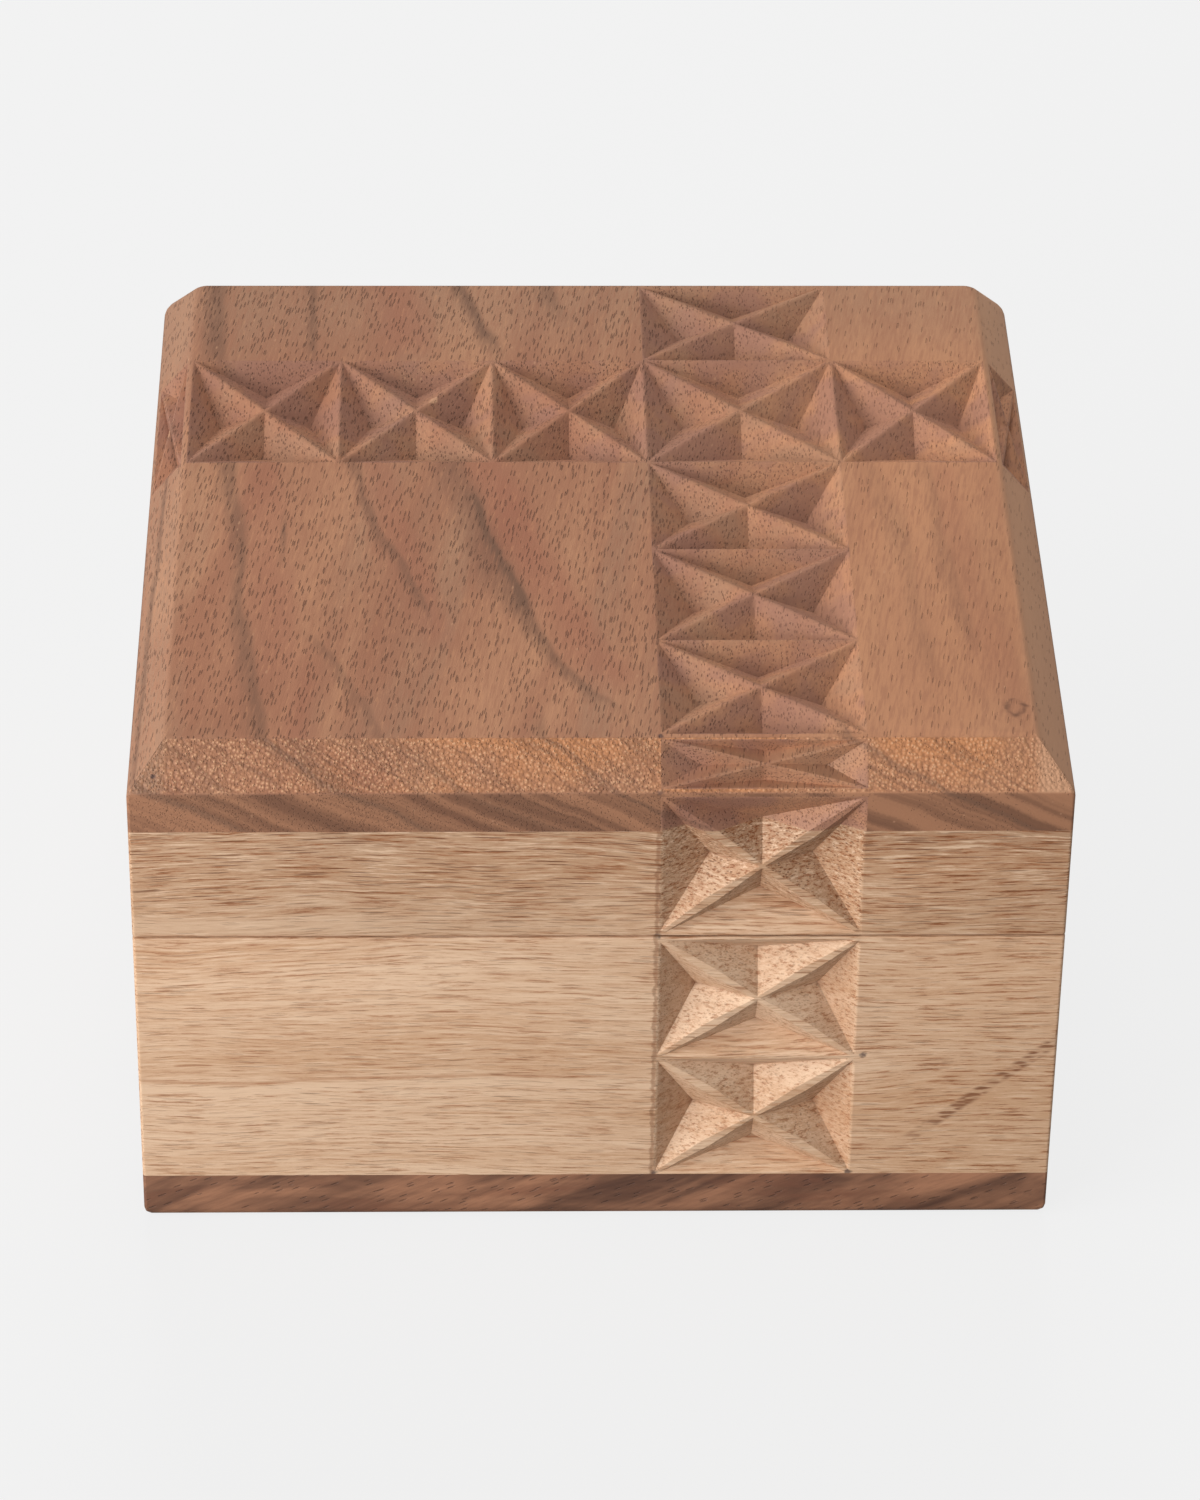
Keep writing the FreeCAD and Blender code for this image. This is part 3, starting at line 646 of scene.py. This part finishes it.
def front_marks(tint, place, level):
    """What only the front shows: pale lines, the bark streak, a torn border of the ribbon and specks."""
    waved = place.part("Z") + level.times(0.03, 0.03, 0.03).noise(2.0, 0.5) * 4.0 - 2.0
    leftward = place.part("X").ramp(10.0, -10.0)
    far_left = place.part("X").ramp(-14.0, -34.0)
    tint = (abs(waved - PALE_LINE).ramp(1.1, 0.2) * leftward * 0.6).mix(tint, WALL_PALE)
    tint = (abs(waved - PALE_LINE - 1.2).ramp(0.4, 0.1) * leftward * 0.4).mix(tint, DASH_BROWN)
    tint = (abs(waved - PALE_CORNER).ramp(2.2, 0.6) * far_left * 0.5).mix(tint, WALL_PALE)
    tint = bark_streak(place, level).mix(tint, DASH_DARK)
    chipped = (level.times(0.4, 0.4, 0.7).noise(3.0, 0.7) - 0.5) * 1.6
    torn = abs(place.part("X") - RIBBON_X[0] + 0.2 + chipped).ramp(0.42, 0.1)
    tint = (torn * 0.5).mix(tint, DASH_DARK)
    return specks(place, FRONT_SPECKS).mix(tint, SPECK_GREY)


def carved_wall_tint(tint, place, side):
    """Darkens the chips' end grain, paints shade into their creases, and pales their ridges: worn, with a
    painted highlight.
    """
    carved = carved_part(place)
    sharp = ridge_wear_sheen_and_crease_shade(place)
    across = abs(level_facing(place, side)).ramp(0.3, 0.75) * carved
    tint = (across * 0.42).mix(tint, DASH_BROWN)
    # Ridges paler: worn wood, and in part a painted highlight.
    tint = (sharp.ramp(0.52, 0.6) * carved * 0.3).mix(tint, WALL_PALE)
    # Creases darker: painted shade.
    return (sharp.ramp(0.485, 0.42) * carved * 0.8).mix(tint, DASH_DARK)


def wall_material(side):
    """Light wood with level grain: pale bands, and short dark dashes that gather in streaks."""
    material, finish, place = new_material(f"light wall wood {side}")
    step = GRAIN_STEP[side]
    level = grain_place(place, (0, 0, -SIDES[side])).moved(step, 0, 0)
    sway = level.times(0.022, 0.04, 0.05).noise(2.0, 0.5) * 5.0
    parts = {0: level.part("X"), 1: level.part("Y"), 2: level.part("Z") + sway}
    grain = level.node("ShaderNodeCombineXYZ", {}, parts)
    bands = grain.times(0.012, 0.05, 0.14).noise(2.0, 0.5, 0.4)
    streaks = grain.times(0.035, 0.4, 1.0).noise(3.0, 0.6, 0.3)
    fibre = grain.times(0.18, 2.4, 4.6).noise(3.0, 0.7)
    hair = grain.moved(5.0, 8.0, 3.0).times(0.11, 2.0, 2.6).noise(5.0, 0.75)
    clusters = grain.times(0.03, 0.15, 0.16).noise(2.0, 0.5)
    upper = place.part("Z").ramp(40.0, 64.0)
    rightward = level.part("X").ramp(step + 22.0, step + 46.0)
    rim = place.part("Z").ramp(59.0, 63.0) * level.times(0.04, 0.04, 0.04).noise(2.0, 0.5).ramp(0.3, 0.6)
    crowd = clusters * 0.7 + upper * 0.3
    long_dash = pores(grain, 9.0, 0.32, crowd.ramp(0.2, 0.7) * 0.9)
    dash = pores(grain.moved(31.0, 17.0, 5.3), 5.0, 0.27, crowd.ramp(0.0, 0.5))
    fleck = pores(grain.moved(11.0, 7.0, 2.9), 3.6, 0.26, 0.9)
    tint = (bands * 0.7 + streaks * 0.55 - 0.12 + upper * 0.14).ramp(0.28, 0.78).mix(WALL_PALE, WALL_TAN)
    tint = (upper * 0.4).mix(tint, WALL_GREY)
    tint = (fibre.ramp(0.46, 0.72) * (0.4 + upper * 0.25)).mix(tint, DASH_BROWN)
    tint = (rightward * 0.4).mix(tint, WALL_TAN)
    tint = (rightward * upper * 0.2).mix(tint, DASH_BROWN)
    tint = (rim * 0.5).mix(tint, WALL_GREY)
    tint = (hair.ramp(0.53, 0.6) * (0.6 + upper * 0.35 + rightward * 0.35)).mix(tint, DASH_BROWN)
    tint = (hair.ramp(0.58, 0.64) * (0.25 + upper * 0.75 + rightward * 0.4)).mix(tint, DASH_DARK)
    tint = (hair.ramp(0.48, 0.38) * (0.7 + upper * 0.2)).mix(tint, WALL_PALE)
    tint = (fleck * 0.25).mix(tint, DASH_BROWN)
    tint = (dash * (0.2 + upper * 0.4)).mix(tint, DASH_BROWN)
    tint = (long_dash * (0.16 + upper * 0.64)).mix(tint, DASH_DARK)
    if side == "front":
        tint = front_marks(tint, place, level)
    tint = carved_wall_tint(tint, place, side)
    height = fibre * 0.5 - (dash + long_dash) * 0.6
    rough = 0.55 + fibre * 0.12
    return finish_wood(material, finish, tint, height, rough, SANDED_RELIEF)


case_block = block("case_block_whole", CASE_BOTTOM, CASE_TOP)
round_corners(case_block, corner_radius, CORNER_STEPS)
bevel_edges(case_block, is_level(CASE_TOP), RIM_EASE, ARRIS_STEPS)
slice_at(case_block, "X", RIBBON_X)
slice_at(case_block, "Y", RIBBON_Y)
slice_at(case_block, "Z", (CASE_ROW,))
mark_cells(case_block)
carve(case_block, UPRIGHT_CELL, CHIP_DEPTH, RIDGE_LAND, LEAF_SWELL, "MEDIAN")
finish_carving(case_block)

wall_woods = {side: wall_material(side) for side in SIDES}
for side in SIDES:
    dress(stave(case_block, f"{side}_wall_carved", side), f"{side}_wall", wall_woods[side])
bpy.data.objects.remove(case_block)

# Inner floor and what carries it
# A thin board on cleats and guide strips, which hides the lock.
# All of it is bare planed pale wood, glued in.

INNER_LIGHT = colour(214, 184, 148)
INNER_DARK = colour(186, 150, 112)
INNER_PORE = colour(140, 106, 76)
BOARD_EASE = 0.2
SEED_STEP = (37.0, 11.0, 23.0)  # how far apart in the log two boards of a kind were cut


def plain_wood(name, turn, light, dark, pore, seed):
    """Straight-grained wood for the boards whose figure is quiet."""
    material, finish, place = new_material(name)
    grain = grain_place(place, turn).moved(*(seed * step for step in SEED_STEP))
    figure = grain.times(0.018, 0.16, 0.16).noise(3.0, 0.55, 1.2)
    fibre = grain.times(0.16, 2.6, 2.6).noise(3.0, 0.6)
    holes = pores(grain, 3.2, 0.55, 0.4)
    tint = (figure * 0.75 + fibre * 0.4 - 0.1).ramp(0.25, 0.75).mix(light, dark)
    tint = (holes * 0.7).mix(tint, pore)
    height = fibre * 0.25 - holes
    rough = 0.5 + fibre * 0.15 + holes * 0.1
    return finish_wood(material, finish, tint, height, rough, PLANED_RELIEF)


inner_along_x = plain_wood("inner wood along", (0, 0, 0), INNER_LIGHT, INNER_DARK, INNER_PORE, 2)
inner_upright = plain_wood("inner wood upright", (0, 90, 0), INNER_LIGHT, INNER_DARK, INNER_PORE, 3)
inner_along_y = plain_wood("inner wood across", (0, 0, 90), INNER_LIGHT, INNER_DARK, INNER_PORE, 4)

for node in ("inner_floor", "wedge_guide_front", "wedge_guide_rear", "floor_cleat_back"):
    dress(eased_copy(node, BOARD_EASE), node, inner_along_x)
for node in ("floor_cleat_left", "floor_cleat_right"):
    dress(eased_copy(node, BOARD_EASE), node, inner_along_y)

# Posts and glue blocks
# Square posts bored for the pivot dowel and the lock pin, and triangular blocks behind the mitres.
# They are sawn from the same pale wood, with the grain upright, and glued in.

POST_EASE = 0.3
BLOCK_CORNERS = ("front_left", "front_right", "back_right")

for node in ("pivot_post", "lock_post", *(f"case_block_{corner}" for corner in BLOCK_CORNERS)):
    dress(eased_copy(node, POST_EASE), node, inner_upright)

# Lock
# A wedge with a round button below, the pin that rides on its slope, and the peg that holds the panel.
# They are of burnished brown hardwood. The wedge and the pin run loose, the button and the peg are glued.

DOWEL_LIGHT = colour(196, 156, 114)
DOWEL_DARK = colour(164, 122, 84)
PEG_EASE = 0.35
WEDGE_EASE = 0.25
dowel_upright = plain_wood("dowel wood upright", (0, 90, 0), DOWEL_LIGHT, DOWEL_DARK, INNER_PORE, 5)
dowel_along_x = plain_wood("dowel wood along", (0, 0, 0), DOWEL_LIGHT, DOWEL_DARK, INNER_PORE, 6)
for node in ("lock_button", "lock_pin", "panel_stop_peg"):
    dress(eased_copy(node, PEG_EASE), node, dowel_upright)
dress(eased_copy("lock_wedge", WEDGE_EASE), "lock_wedge", dowel_along_x)

# Lid rails and top board
# The upper part of the same mitred frame under a thick dark board with a bevel all round.
# Both were carved in one go, so a chip runs across the joint between light and dark wood.

LID_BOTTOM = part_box("lid_front_rail")[0][2] / MM
BOARD_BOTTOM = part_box("lid_top_board")[0][2] / MM
LID_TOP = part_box("lid_top_board")[1][2] / MM
BEVEL_RISE = 5.5
BEVEL_RUN = 4.7
BEVEL_FOOT = LID_TOP - BEVEL_RISE
TOP_HALF = BOX_HALF - BEVEL_RUN
BACK_TIGHTER = 0.6  # the back corners are less round at the top than at the foot of the bevel
TOP_RIM = {"back": 0.8, "elsewhere": 0.4}
FOOT_RIM = {"back": 1.2, "elsewhere": 0.5}
RIM_STEPS = 3
TOP_CELLS = 3
TOP_CHIP_DEPTH = 2.9
RAIL_CHIP_DEPTH = 3.2
BEVEL_CHIP_DEPTH = 1.5
TOP_LAND = 0.13
TOP_SWELL = 0.06
BEVEL_SWELL = 0.1

lid_block = block("lid_block_whole", LID_BOTTOM, BEVEL_FOOT)
round_corners(lid_block, corner_radius, CORNER_STEPS)
pick(lid_block, "polygons", lambda face: face.normal.z > 0.9)
bpy.ops.mesh.extrude_region_move(TRANSFORM_OT_translate={"value": (0, 0, BEVEL_RISE * MM)})
shrink = TOP_HALF / BOX_HALF
bpy.ops.transform.resize(value=(shrink, shrink, 1), center_override=(0, 0, LID_TOP * MM))
bpy.ops.object.mode_set(mode="OBJECT")
for point in lid_block.data.vertices:
    spot = point.co / MM
    corner = Vector((math.copysign(TOP_HALF, spot.x), TOP_HALF, LID_TOP))
    if (spot - corner).length < BACK_ROUND:
        point.co = (corner + (spot - corner) * BACK_TIGHTER) * MM


def rim_radius(start, end):
    """How round the rims of the lid are sanded: rounder behind than elsewhere."""
    if is_level(LID_BOTTOM)(start, end):
        return RIM_EASE
    where = "back" if min(start.y, end.y) > TOP_HALF - BACK_ROUND else "elsewhere"
    for height, rim in ((LID_TOP, TOP_RIM), (BEVEL_FOOT, FOOT_RIM)):
        if is_level(height)(start, end):
            return rim[where]
    return 0.0


round_corners(lid_block, rim_radius, RIM_STEPS)


def cell_places(ribbon):
    """Where the cells of one run of the ribbon begin and end on the top."""
    size = (ribbon[0] + TOP_HALF) / TOP_CELLS
    return tuple(-TOP_HALF + size * i for i in range(1, TOP_CELLS))


slice_at(lid_block, "X", RIBBON_X + cell_places(RIBBON_X))
slice_at(lid_block, "Y", RIBBON_Y + cell_places(RIBBON_Y))
mark_cells(lid_block)
carve(lid_block, TOP_CELL, TOP_CHIP_DEPTH, TOP_LAND, TOP_SWELL, "MEDIAN")
carve(lid_block, UPRIGHT_CELL, RAIL_CHIP_DEPTH, RIDGE_LAND, LEAF_SWELL, "BOUNDS")
carve(lid_block, BEVEL_CELL, BEVEL_CHIP_DEPTH, TOP_LAND, BEVEL_SWELL, "MEDIAN")
finish_carving(lid_block)

rail_block = copy_of(lid_block, "rail_block")
cut_away(rail_block, (0, 0, BOARD_BOTTOM), (0, 0, 1))
for side in SIDES:
    rail = stave(rail_block, f"lid_{side}_rail_carved", side)
    dress(rail, f"lid_{side}_rail", wall_woods[side])
bpy.data.objects.remove(rail_block)

TOP_ORANGE = colour(182, 132, 101)
TOP_RED = colour(160, 110, 85)
TOP_OLIVE = colour(162, 124, 99)
TOP_GREY = colour(116, 86, 69)
TOP_WINE = colour(158, 101, 80)
TOP_PORE = colour(98, 68, 55)
TOP_PALE = colour(206, 158, 124)
EDGE_BROWN = colour(122, 85, 65)
EDGE_PALE = colour(170, 121, 91)
BEVEL_ORANGE = colour(204, 138, 92)
BEVEL_SPECK = colour(228, 178, 138)
FACET_PLUM = colour(150, 108, 94)
TOP_LIGHT = colour(201, 144, 106)
TOP_SPECKS = ((7.4, -55.2, 75.2), (7.4, -60.0, 69.8), (-56.6, -58.6, 71.3))
RING_LEAN = 2.0  # how far a growth ring moves to the right for each unit that it goes down
STREAKS = {  # front end x, y; back end x, y; bow; half width; strength
    "left": (-43.9, -54.0, -49.6, 8.0, 0.0, 1.4, 0.55),
    "left short": (-40.9, -13.0, -41.6, -7.5, 0.0, 0.6, 0.6),
    "thin": (-22.0, -28.0, -32.6, 8.0, -0.4, 1.0, 0.5),
    "broad": (-10.7, -24.8, -18.4, 8.0, 0.0, 2.6, 0.45),
    "broad edge": (-9.6, -26.0, -15.4, -2.0, 0.0, 0.7, 0.45),
    "broad front": (1.2, -48.0, -10.7, -25.0, -2.0, 1.5, 0.6),
    "front": (-29.3, -55.0, -35.9, -36.0, 0.4, 0.9, 0.35),
    "back left": (-51.9, 34.0, -52.5, 56.0, 0.0, 1.7, 0.6),
    "back second": (-38.4, 36.0, -39.4, 56.0, 0.0, 0.9, 0.55),
    "back middle": (-12.6, 38.0, -18.6, 56.0, 0.3, 1.5, 0.75),
    "back right": (-4.0, 47.0, -5.6, 56.0, 0.0, 1.5, 0.5),
    "right": (48.7, -34.0, 44.1, 6.0, 0.0, 1.5, 0.22),
    "right second": (43.0, -40.0, 38.0, 6.0, 0.0, 1.6, 0.18),
    "left edge": (-68.0, -60.0, -62.0, 20.0, 0.0, 1.4, 0.6),
    "middle edge": (-8.0, -60.0, -8.0, -54.0, 0.0, 1.1, 0.4),
    "right edge": (33.0, -60.0, 31.0, -54.0, 0.0, 1.0, 0.5),
}
RED_BANDS = {  # the same numbers, for the reddish wood beside the dark streaks
    "beside broad": (3.0, -44.0, -14.0, 8.0, -2.0, 5.0, 0.6),
    "beside thin": (-20.0, -34.0, -29.0, 8.0, 0.0, 3.5, 0.45),
    "beside left": (-38.0, -52.0, -45.0, 6.0, 0.0, 3.5, 0.35),
    "back": (-24.0, 36.0, -27.0, 56.0, 0.0, 5.0, 0.5),
    "right": (52.0, -50.0, 47.5, 6.0, 0.0, 3.0, 0.3),
}
STREAK_FADE = 5.0
RUNS_OFF = -50.0  # a streak that begins in front of this runs off the front edge
KNOT = (52.8, -49.2, 0.0)
PEBBLE = 0.46


def streak(across, along, line):
    """One dark streak of the figure: a slightly bowed line with soft sides and ends."""
    front_x, front_y, back_x, back_y, bow, width, strength = line
    way = (along - front_y) / (back_y - front_y)
    centre = front_x + way * (back_x - front_x) + way * (1 - way) * (4 * bow)
    off = across - centre
    sides = off.ramp(-1.8 * width, 0.0) * off.ramp(width, 0.1 * width)
    ends = along.ramp(back_y + STREAK_FADE, back_y)
    if front_y >= RUNS_OFF:
        ends = ends * along.ramp(front_y - STREAK_FADE, front_y + STREAK_FADE)
    return sides * ends * strength


def top_pores(grain, spread, carved):
    """Open pores: crowded on the left and in the chips, fewer on the right."""
    crowd = (spread * 0.5 + 0.5).larger(carved * 0.9)
    holes = pores(grain, 3.1, 0.37, crowd)
    more = pores(grain.moved(15.3, 53.7, 29.9), 3.2, 0.4, crowd - 0.4)
    return holes.larger(more * 0.8)


def knot_ring(place):
    """A broken dark ring round a small knot in the front right corner."""
    away = place.moved(*(-c for c in KNOT)).times(1, 0.75, 0).length()
    away = away + place.times(0.5, 0.5, 0).noise(2.0, 0.5) * 1.6 - 0.8
    broken = 0.25 + place.times(0.6, 0.6, 0).noise(1.0, 0.5).ramp(0.4, 0.6)
    return away.ramp(1.8, 1.2) * away.ramp(0.3, 1.1) * broken


def ground_tint(place, grain, rings):
    """The board's ground colour: clouds of orange, red and olive, lighter towards the right."""
    clouds = grain.times(0.014, 0.09, 0.09).noise(3.0, 0.5, 0.5)
    patches = grain.moved(40.0, 90.0, 10.0).times(0.016, 0.1, 0.1).noise(3.0, 0.5, 0.5)
    tint = clouds.ramp(0.35, 0.65).mix(TOP_ORANGE, TOP_RED)
    tint = (patches.ramp(0.48, 0.72) * 0.6).mix(tint, TOP_OLIVE)
    tint = (place.part("X").ramp(6.0, 44.0) * 0.7).mix(tint, TOP_LIGHT)
    tint = (place.part("Y").ramp(26.0, 52.0) * 0.6).mix(tint, TOP_OLIVE)
    return (rings.ramp(0.42, 0.7) * 0.3).mix(tint, TOP_RED)


def bevel_tint(tint, place, bevelled, rings, pebbles):
    """The bevels in front and behind: warm and speckled, with the lines of the growth rings."""
    warm = place.times(0.05, 0.05, 0.05).noise(2.0, 0.5).ramp(0.4, 0.6) * place.part("X").ramp(-52.0, -16.0)
    tint = (bevelled * (0.2 + warm * 0.65)).mix(tint, BEVEL_ORANGE)
    tint = (bevelled * pebbles.ramp(0.45, 0.1) * 0.7).mix(tint, BEVEL_SPECK)
    tint = (bevelled * pebbles.ramp(0.5, 0.75) * 0.25).mix(tint, TOP_PORE)
    return (bevelled * abs(rings - 0.5).ramp(0.03, 0.005) * 0.4).mix(tint, EDGE_BROWN)


def side_tint(tint, place, sloping, upright, fibre, rings):
    """The side bevels and the board's upright edge. The left bevel is olive; the right is paler wood with
    painted light.
    """
    right = place.part("X").ramp(TOP_HALF - 1.0, TOP_HALF + 1.0) * sloping
    left = place.part("X").ramp(1.0 - TOP_HALF, -1.0 - TOP_HALF) * sloping
    # Painted light in part: the right bevel faces away from the main lamps and is painted paler.
    tint = (right * 0.75).mix(tint, TOP_PALE)
    tint = (left * (0.3 + fibre.ramp(0.4, 0.6) * 0.5)).mix(tint, TOP_OLIVE)
    edge_tint = rings.ramp(0.36, 0.64).mix(EDGE_PALE, EDGE_BROWN)
    return (upright * 0.9).mix(tint, edge_tint)


def carved_top_tint(tint, place, carved):
    """Pales the ridges of the chips, worn and with a painted highlight, and paints shade into their
    creases.
    """
    sharp = ridge_wear_sheen_and_crease_shade(place)
    # Ridges paler: worn wood, and in part a painted highlight.
    tint = (sharp.ramp(0.52, 0.58) * carved * 0.75).mix(tint, TOP_PALE)
    # Creases darker: painted shade.
    return (sharp.ramp(0.485, 0.42) * carved * 0.6).mix(tint, TOP_PORE)


def top_material():
    """Reddish brown heartwood: grain from front to back, dark streaks and many open pores."""
    material, finish, place = new_material("top heartwood")
    grain = grain_place(place, (0, 0, 99))
    fibre = grain.times(0.3, 2.8, 2.8).noise(3.0, 0.6)
    wander = grain.times(0.03, 0.1, 0.1).noise(2.0, 0.5) * 6.0 + fibre * 1.6 - 3.8
    ring = place.part("X") + (place.part("Z") - LID_TOP) * RING_LEAN + wander
    along = place.part("Y")
    reddish = sum(streak(ring, along, line) for line in RED_BANDS.values())
    dark = sum(streak(ring, along, line) for line in STREAKS.values())
    dark = (dark * (0.45 + fibre * 1.1)).smaller(0.9)
    rings = place.node("ShaderNodeCombineXYZ", {}, {0: ring * 0.16, 1: along * 0.02}).noise(4.0, 0.6)
    carved = carved_part(place)
    plain = 1 - carved
    spread = place.part("X").ramp(34.0, 4.0)
    holes = top_pores(grain, spread, carved)
    glints = pores(grain.moved(71.3, 33.7, 19.9), 1.6, 0.6, 0.03)
    dots = pores(grain.moved(8.3, 3.7, 1.9), 1.3, 0.36, 0.85) * carved
    facets = place.times(0.1, 0.1, 0.1).noise(2.0, 0.6)
    facing = place.node("ShaderNodeTexCoord", {}, {}, "Normal")
    bevelled = abs(facing.part("Y")).ramp(0.5, 0.62) * facing.part("Z").ramp(0.3, 0.5) * plain
    upright = abs(facing.part("Z")).ramp(0.4, 0.2) * plain
    pebbles = grain.times(0.8 / PEBBLE, 1 / PEBBLE, 1 / PEBBLE).cells()
    tint = reddish.mix(ground_tint(place, grain, rings), TOP_WINE)
    tint = (fibre.ramp(0.44, 0.66) * 0.5).mix(tint, TOP_RED)
    tint = (fibre.ramp(0.44, 0.3) * 0.3).mix(tint, TOP_LIGHT)
    tint = (carved * facets.ramp(0.42, 0.6) * 0.55).mix(tint, FACET_PLUM)
    tint = (carved * facets.ramp(0.45, 0.3) * 0.45).mix(tint, TOP_OLIVE)
    tint = bevel_tint(tint, place, bevelled, rings, pebbles)
    tint = side_tint(tint, place, plain * (1 - upright), upright, fibre, rings)
    tint = dark.mix(tint, TOP_GREY)
    shown = (0.2 + spread * 0.36) * (1 - upright * 0.8) * (1 - bevelled * 0.7)
    tint = (holes * shown).mix(tint, TOP_PORE)
    tint = (dots * 0.4).mix(tint, TOP_PORE)
    tint = (glints * 0.35).mix(tint, TOP_PALE)
    tint = (knot_ring(place) * facing.part("Z").ramp(0.9, 0.99) * 0.55).mix(tint, TOP_PORE)
    tint = specks(place, TOP_SPECKS).mix(tint, SPECK_GREY)
    tint = carved_top_tint(tint, place, carved)
    height = fibre * (0.2 + spread * 0.4) - holes - bevelled * pebbles * 1.4
    rough = 0.48 + fibre * 0.15
    return finish_wood(material, finish, tint, height, rough, SANDED_RELIEF)


cut_away(lid_block, (0, 0, BOARD_BOTTOM), (0, 0, -1))
lid_block.name = "lid_top_board_carved"
dress(lid_block, "lid_top_board", top_material())

# Inside the lid
# Blocks behind the mitres, the block that holds dowel and stop peg, and the two cheeks of the lock.
# They are sawn from the same pale wood as the posts and glued in.

for node in (*(f"lid_block_{corner}" for corner in BLOCK_CORNERS), "lid_pivot_block"):
    dress(eased_copy(node, POST_EASE), node, inner_upright)
for node in ("lock_cheek_left", "lock_cheek_right"):
    dress(eased_copy(node, POST_EASE), node, inner_upright)

# Pivot
# A turned dowel glued into the lid, with a collar pinned on its lower end, of the same brown hardwood.
# A peg beside it stops the swing.

DOWEL_EASE = 0.3
CROSS_PIN_EASE = 0.2

for node in ("pivot_dowel", "pivot_collar", "lid_stop_peg"):
    dress(eased_copy(node, DOWEL_EASE), node, dowel_upright)
dress(eased_copy("collar_cross_pin", CROSS_PIN_EASE), "collar_cross_pin", dowel_along_x)

# Floor
# A plain pale sheet under the box, which keeps a faint shadow.

FLOOR_SIZE = 6.0
PALE = (0.888, 0.888, 0.888, 1.0)
BOUNCE_GREY = (0.3, 0.3, 0.3, 1.0)  # what the floor throws back at the box
SHADOW_GREY = (0.8, 0.8, 0.8, 1.0)
GLOW_SHARE = 0.92  # the rest of what the camera sees takes the shadow

bpy.ops.object.select_all(action="DESELECT")
bpy.ops.mesh.primitive_plane_add(size=FLOOR_SIZE)
floor_sheet = bpy.context.object
floor_sheet.name = "floor_sheet"
floor_paper = bpy.data.materials.new("pale floor")
floor_paper.use_nodes = True
paper = Wire(floor_paper.node_tree, None)
paper_output = floor_paper.node_tree.nodes["Material Output"]
matte = paper.node("ShaderNodeBsdfDiffuse", {}, {"Color": BOUNCE_GREY})
shaded = paper.node("ShaderNodeBsdfDiffuse", {}, {"Color": SHADOW_GREY})
glow = paper.node("ShaderNodeEmission", {}, {"Color": PALE})
pale_sheet = paper.node("ShaderNodeMixShader", {}, {0: GLOW_SHARE, 1: shaded, 2: glow})
seen = paper.node("ShaderNodeLightPath", {}, {}, "Is Camera Ray")
sheet_mix = paper.node("ShaderNodeMixShader", {}, {0: seen, 1: matte, 2: pale_sheet})
floor_paper.node_tree.links.new(sheet_mix.socket, paper_output.inputs["Surface"])
floor_sheet.data.materials.append(floor_paper)

# Light
# Soft daylight from all round, a large window-like lamp to the upper left, a smaller one low in front,
# one high behind that rakes over the carving, and a faint fill from the right.

WHITE = (1.0, 1.0, 1.0, 1.0)
DAYLIGHT = 0.3

world = bpy.data.worlds.new("studio")
bpy.context.scene.world = world
world.use_nodes = True
sky = Wire(world.node_tree, None)
world_output = world.node_tree.nodes["World Output"]
seen = sky.node("ShaderNodeLightPath", {}, {}, "Is Camera Ray")
soft = sky.node("ShaderNodeBackground", {}, {"Color": WHITE, "Strength": DAYLIGHT})
backdrop = sky.node("ShaderNodeBackground", {}, {"Color": PALE, "Strength": 1.0})
sky_mix = sky.node("ShaderNodeMixShader", {}, {0: seen, 1: soft, 2: backdrop})
world.node_tree.links.new(sky_mix.socket, world_output.inputs["Surface"])


def soft_lamp(name, place, size, power, gleams=True):
    """A square lamp that faces the box. One that does not gleam is not mirrored in what it lights."""
    lamp = bpy.data.lights.new(name, "AREA")
    lamp.size = size
    lamp.energy = power
    holder = bpy.data.objects.new(name, lamp)
    bpy.context.scene.collection.objects.link(holder)
    holder.location = place
    holder.rotation_euler = (-Vector(place)).to_track_quat("-Z", "Y").to_euler()
    holder.visible_glossy = gleams


soft_lamp("left window", (-1.5, -0.47, 0.87), 0.9, 17.0)
soft_lamp("front left", (-1.05, -1.14, 0.38), 0.5, 15.2)
soft_lamp("right", (1.5, -0.2, 0.6), 0.8, 1.2)
soft_lamp("back", (0.0, 1.15, 1.1), 0.6, 12.5, gleams=False)

# Camera
# Stands where the picture was taken from: about 0.8 m away, a long lens, looking down on the box.

CAMERA_PLACE = (-17.15, -646.87, 496.26)
CAMERA_TILT = 35.568
CAMERA_TURN = -1.642
CAMERA_ROLL = 0.853
FOCAL_PIXELS = 5748.9
IMAGE_WIDTH = 1200
SENSOR = 36.0

lens = bpy.data.cameras.new("camera")
lens.sensor_fit = "HORIZONTAL"
lens.sensor_width = SENSOR
lens.lens = FOCAL_PIXELS * SENSOR / IMAGE_WIDTH
lens.clip_start = 0.01
camera = bpy.data.objects.new("camera", lens)
bpy.context.scene.collection.objects.link(camera)
camera.matrix_world = (
    Matrix.Translation(Vector(CAMERA_PLACE) * MM)
    @ Matrix.Rotation(math.radians(CAMERA_TURN), 4, "Z")
    @ Matrix.Rotation(math.radians(90 - CAMERA_TILT), 4, "X")
    @ Matrix.Rotation(math.radians(CAMERA_ROLL), 4, "Z")
)
bpy.context.scene.camera = camera
bpy.context.scene.view_settings.view_transform = "Standard"
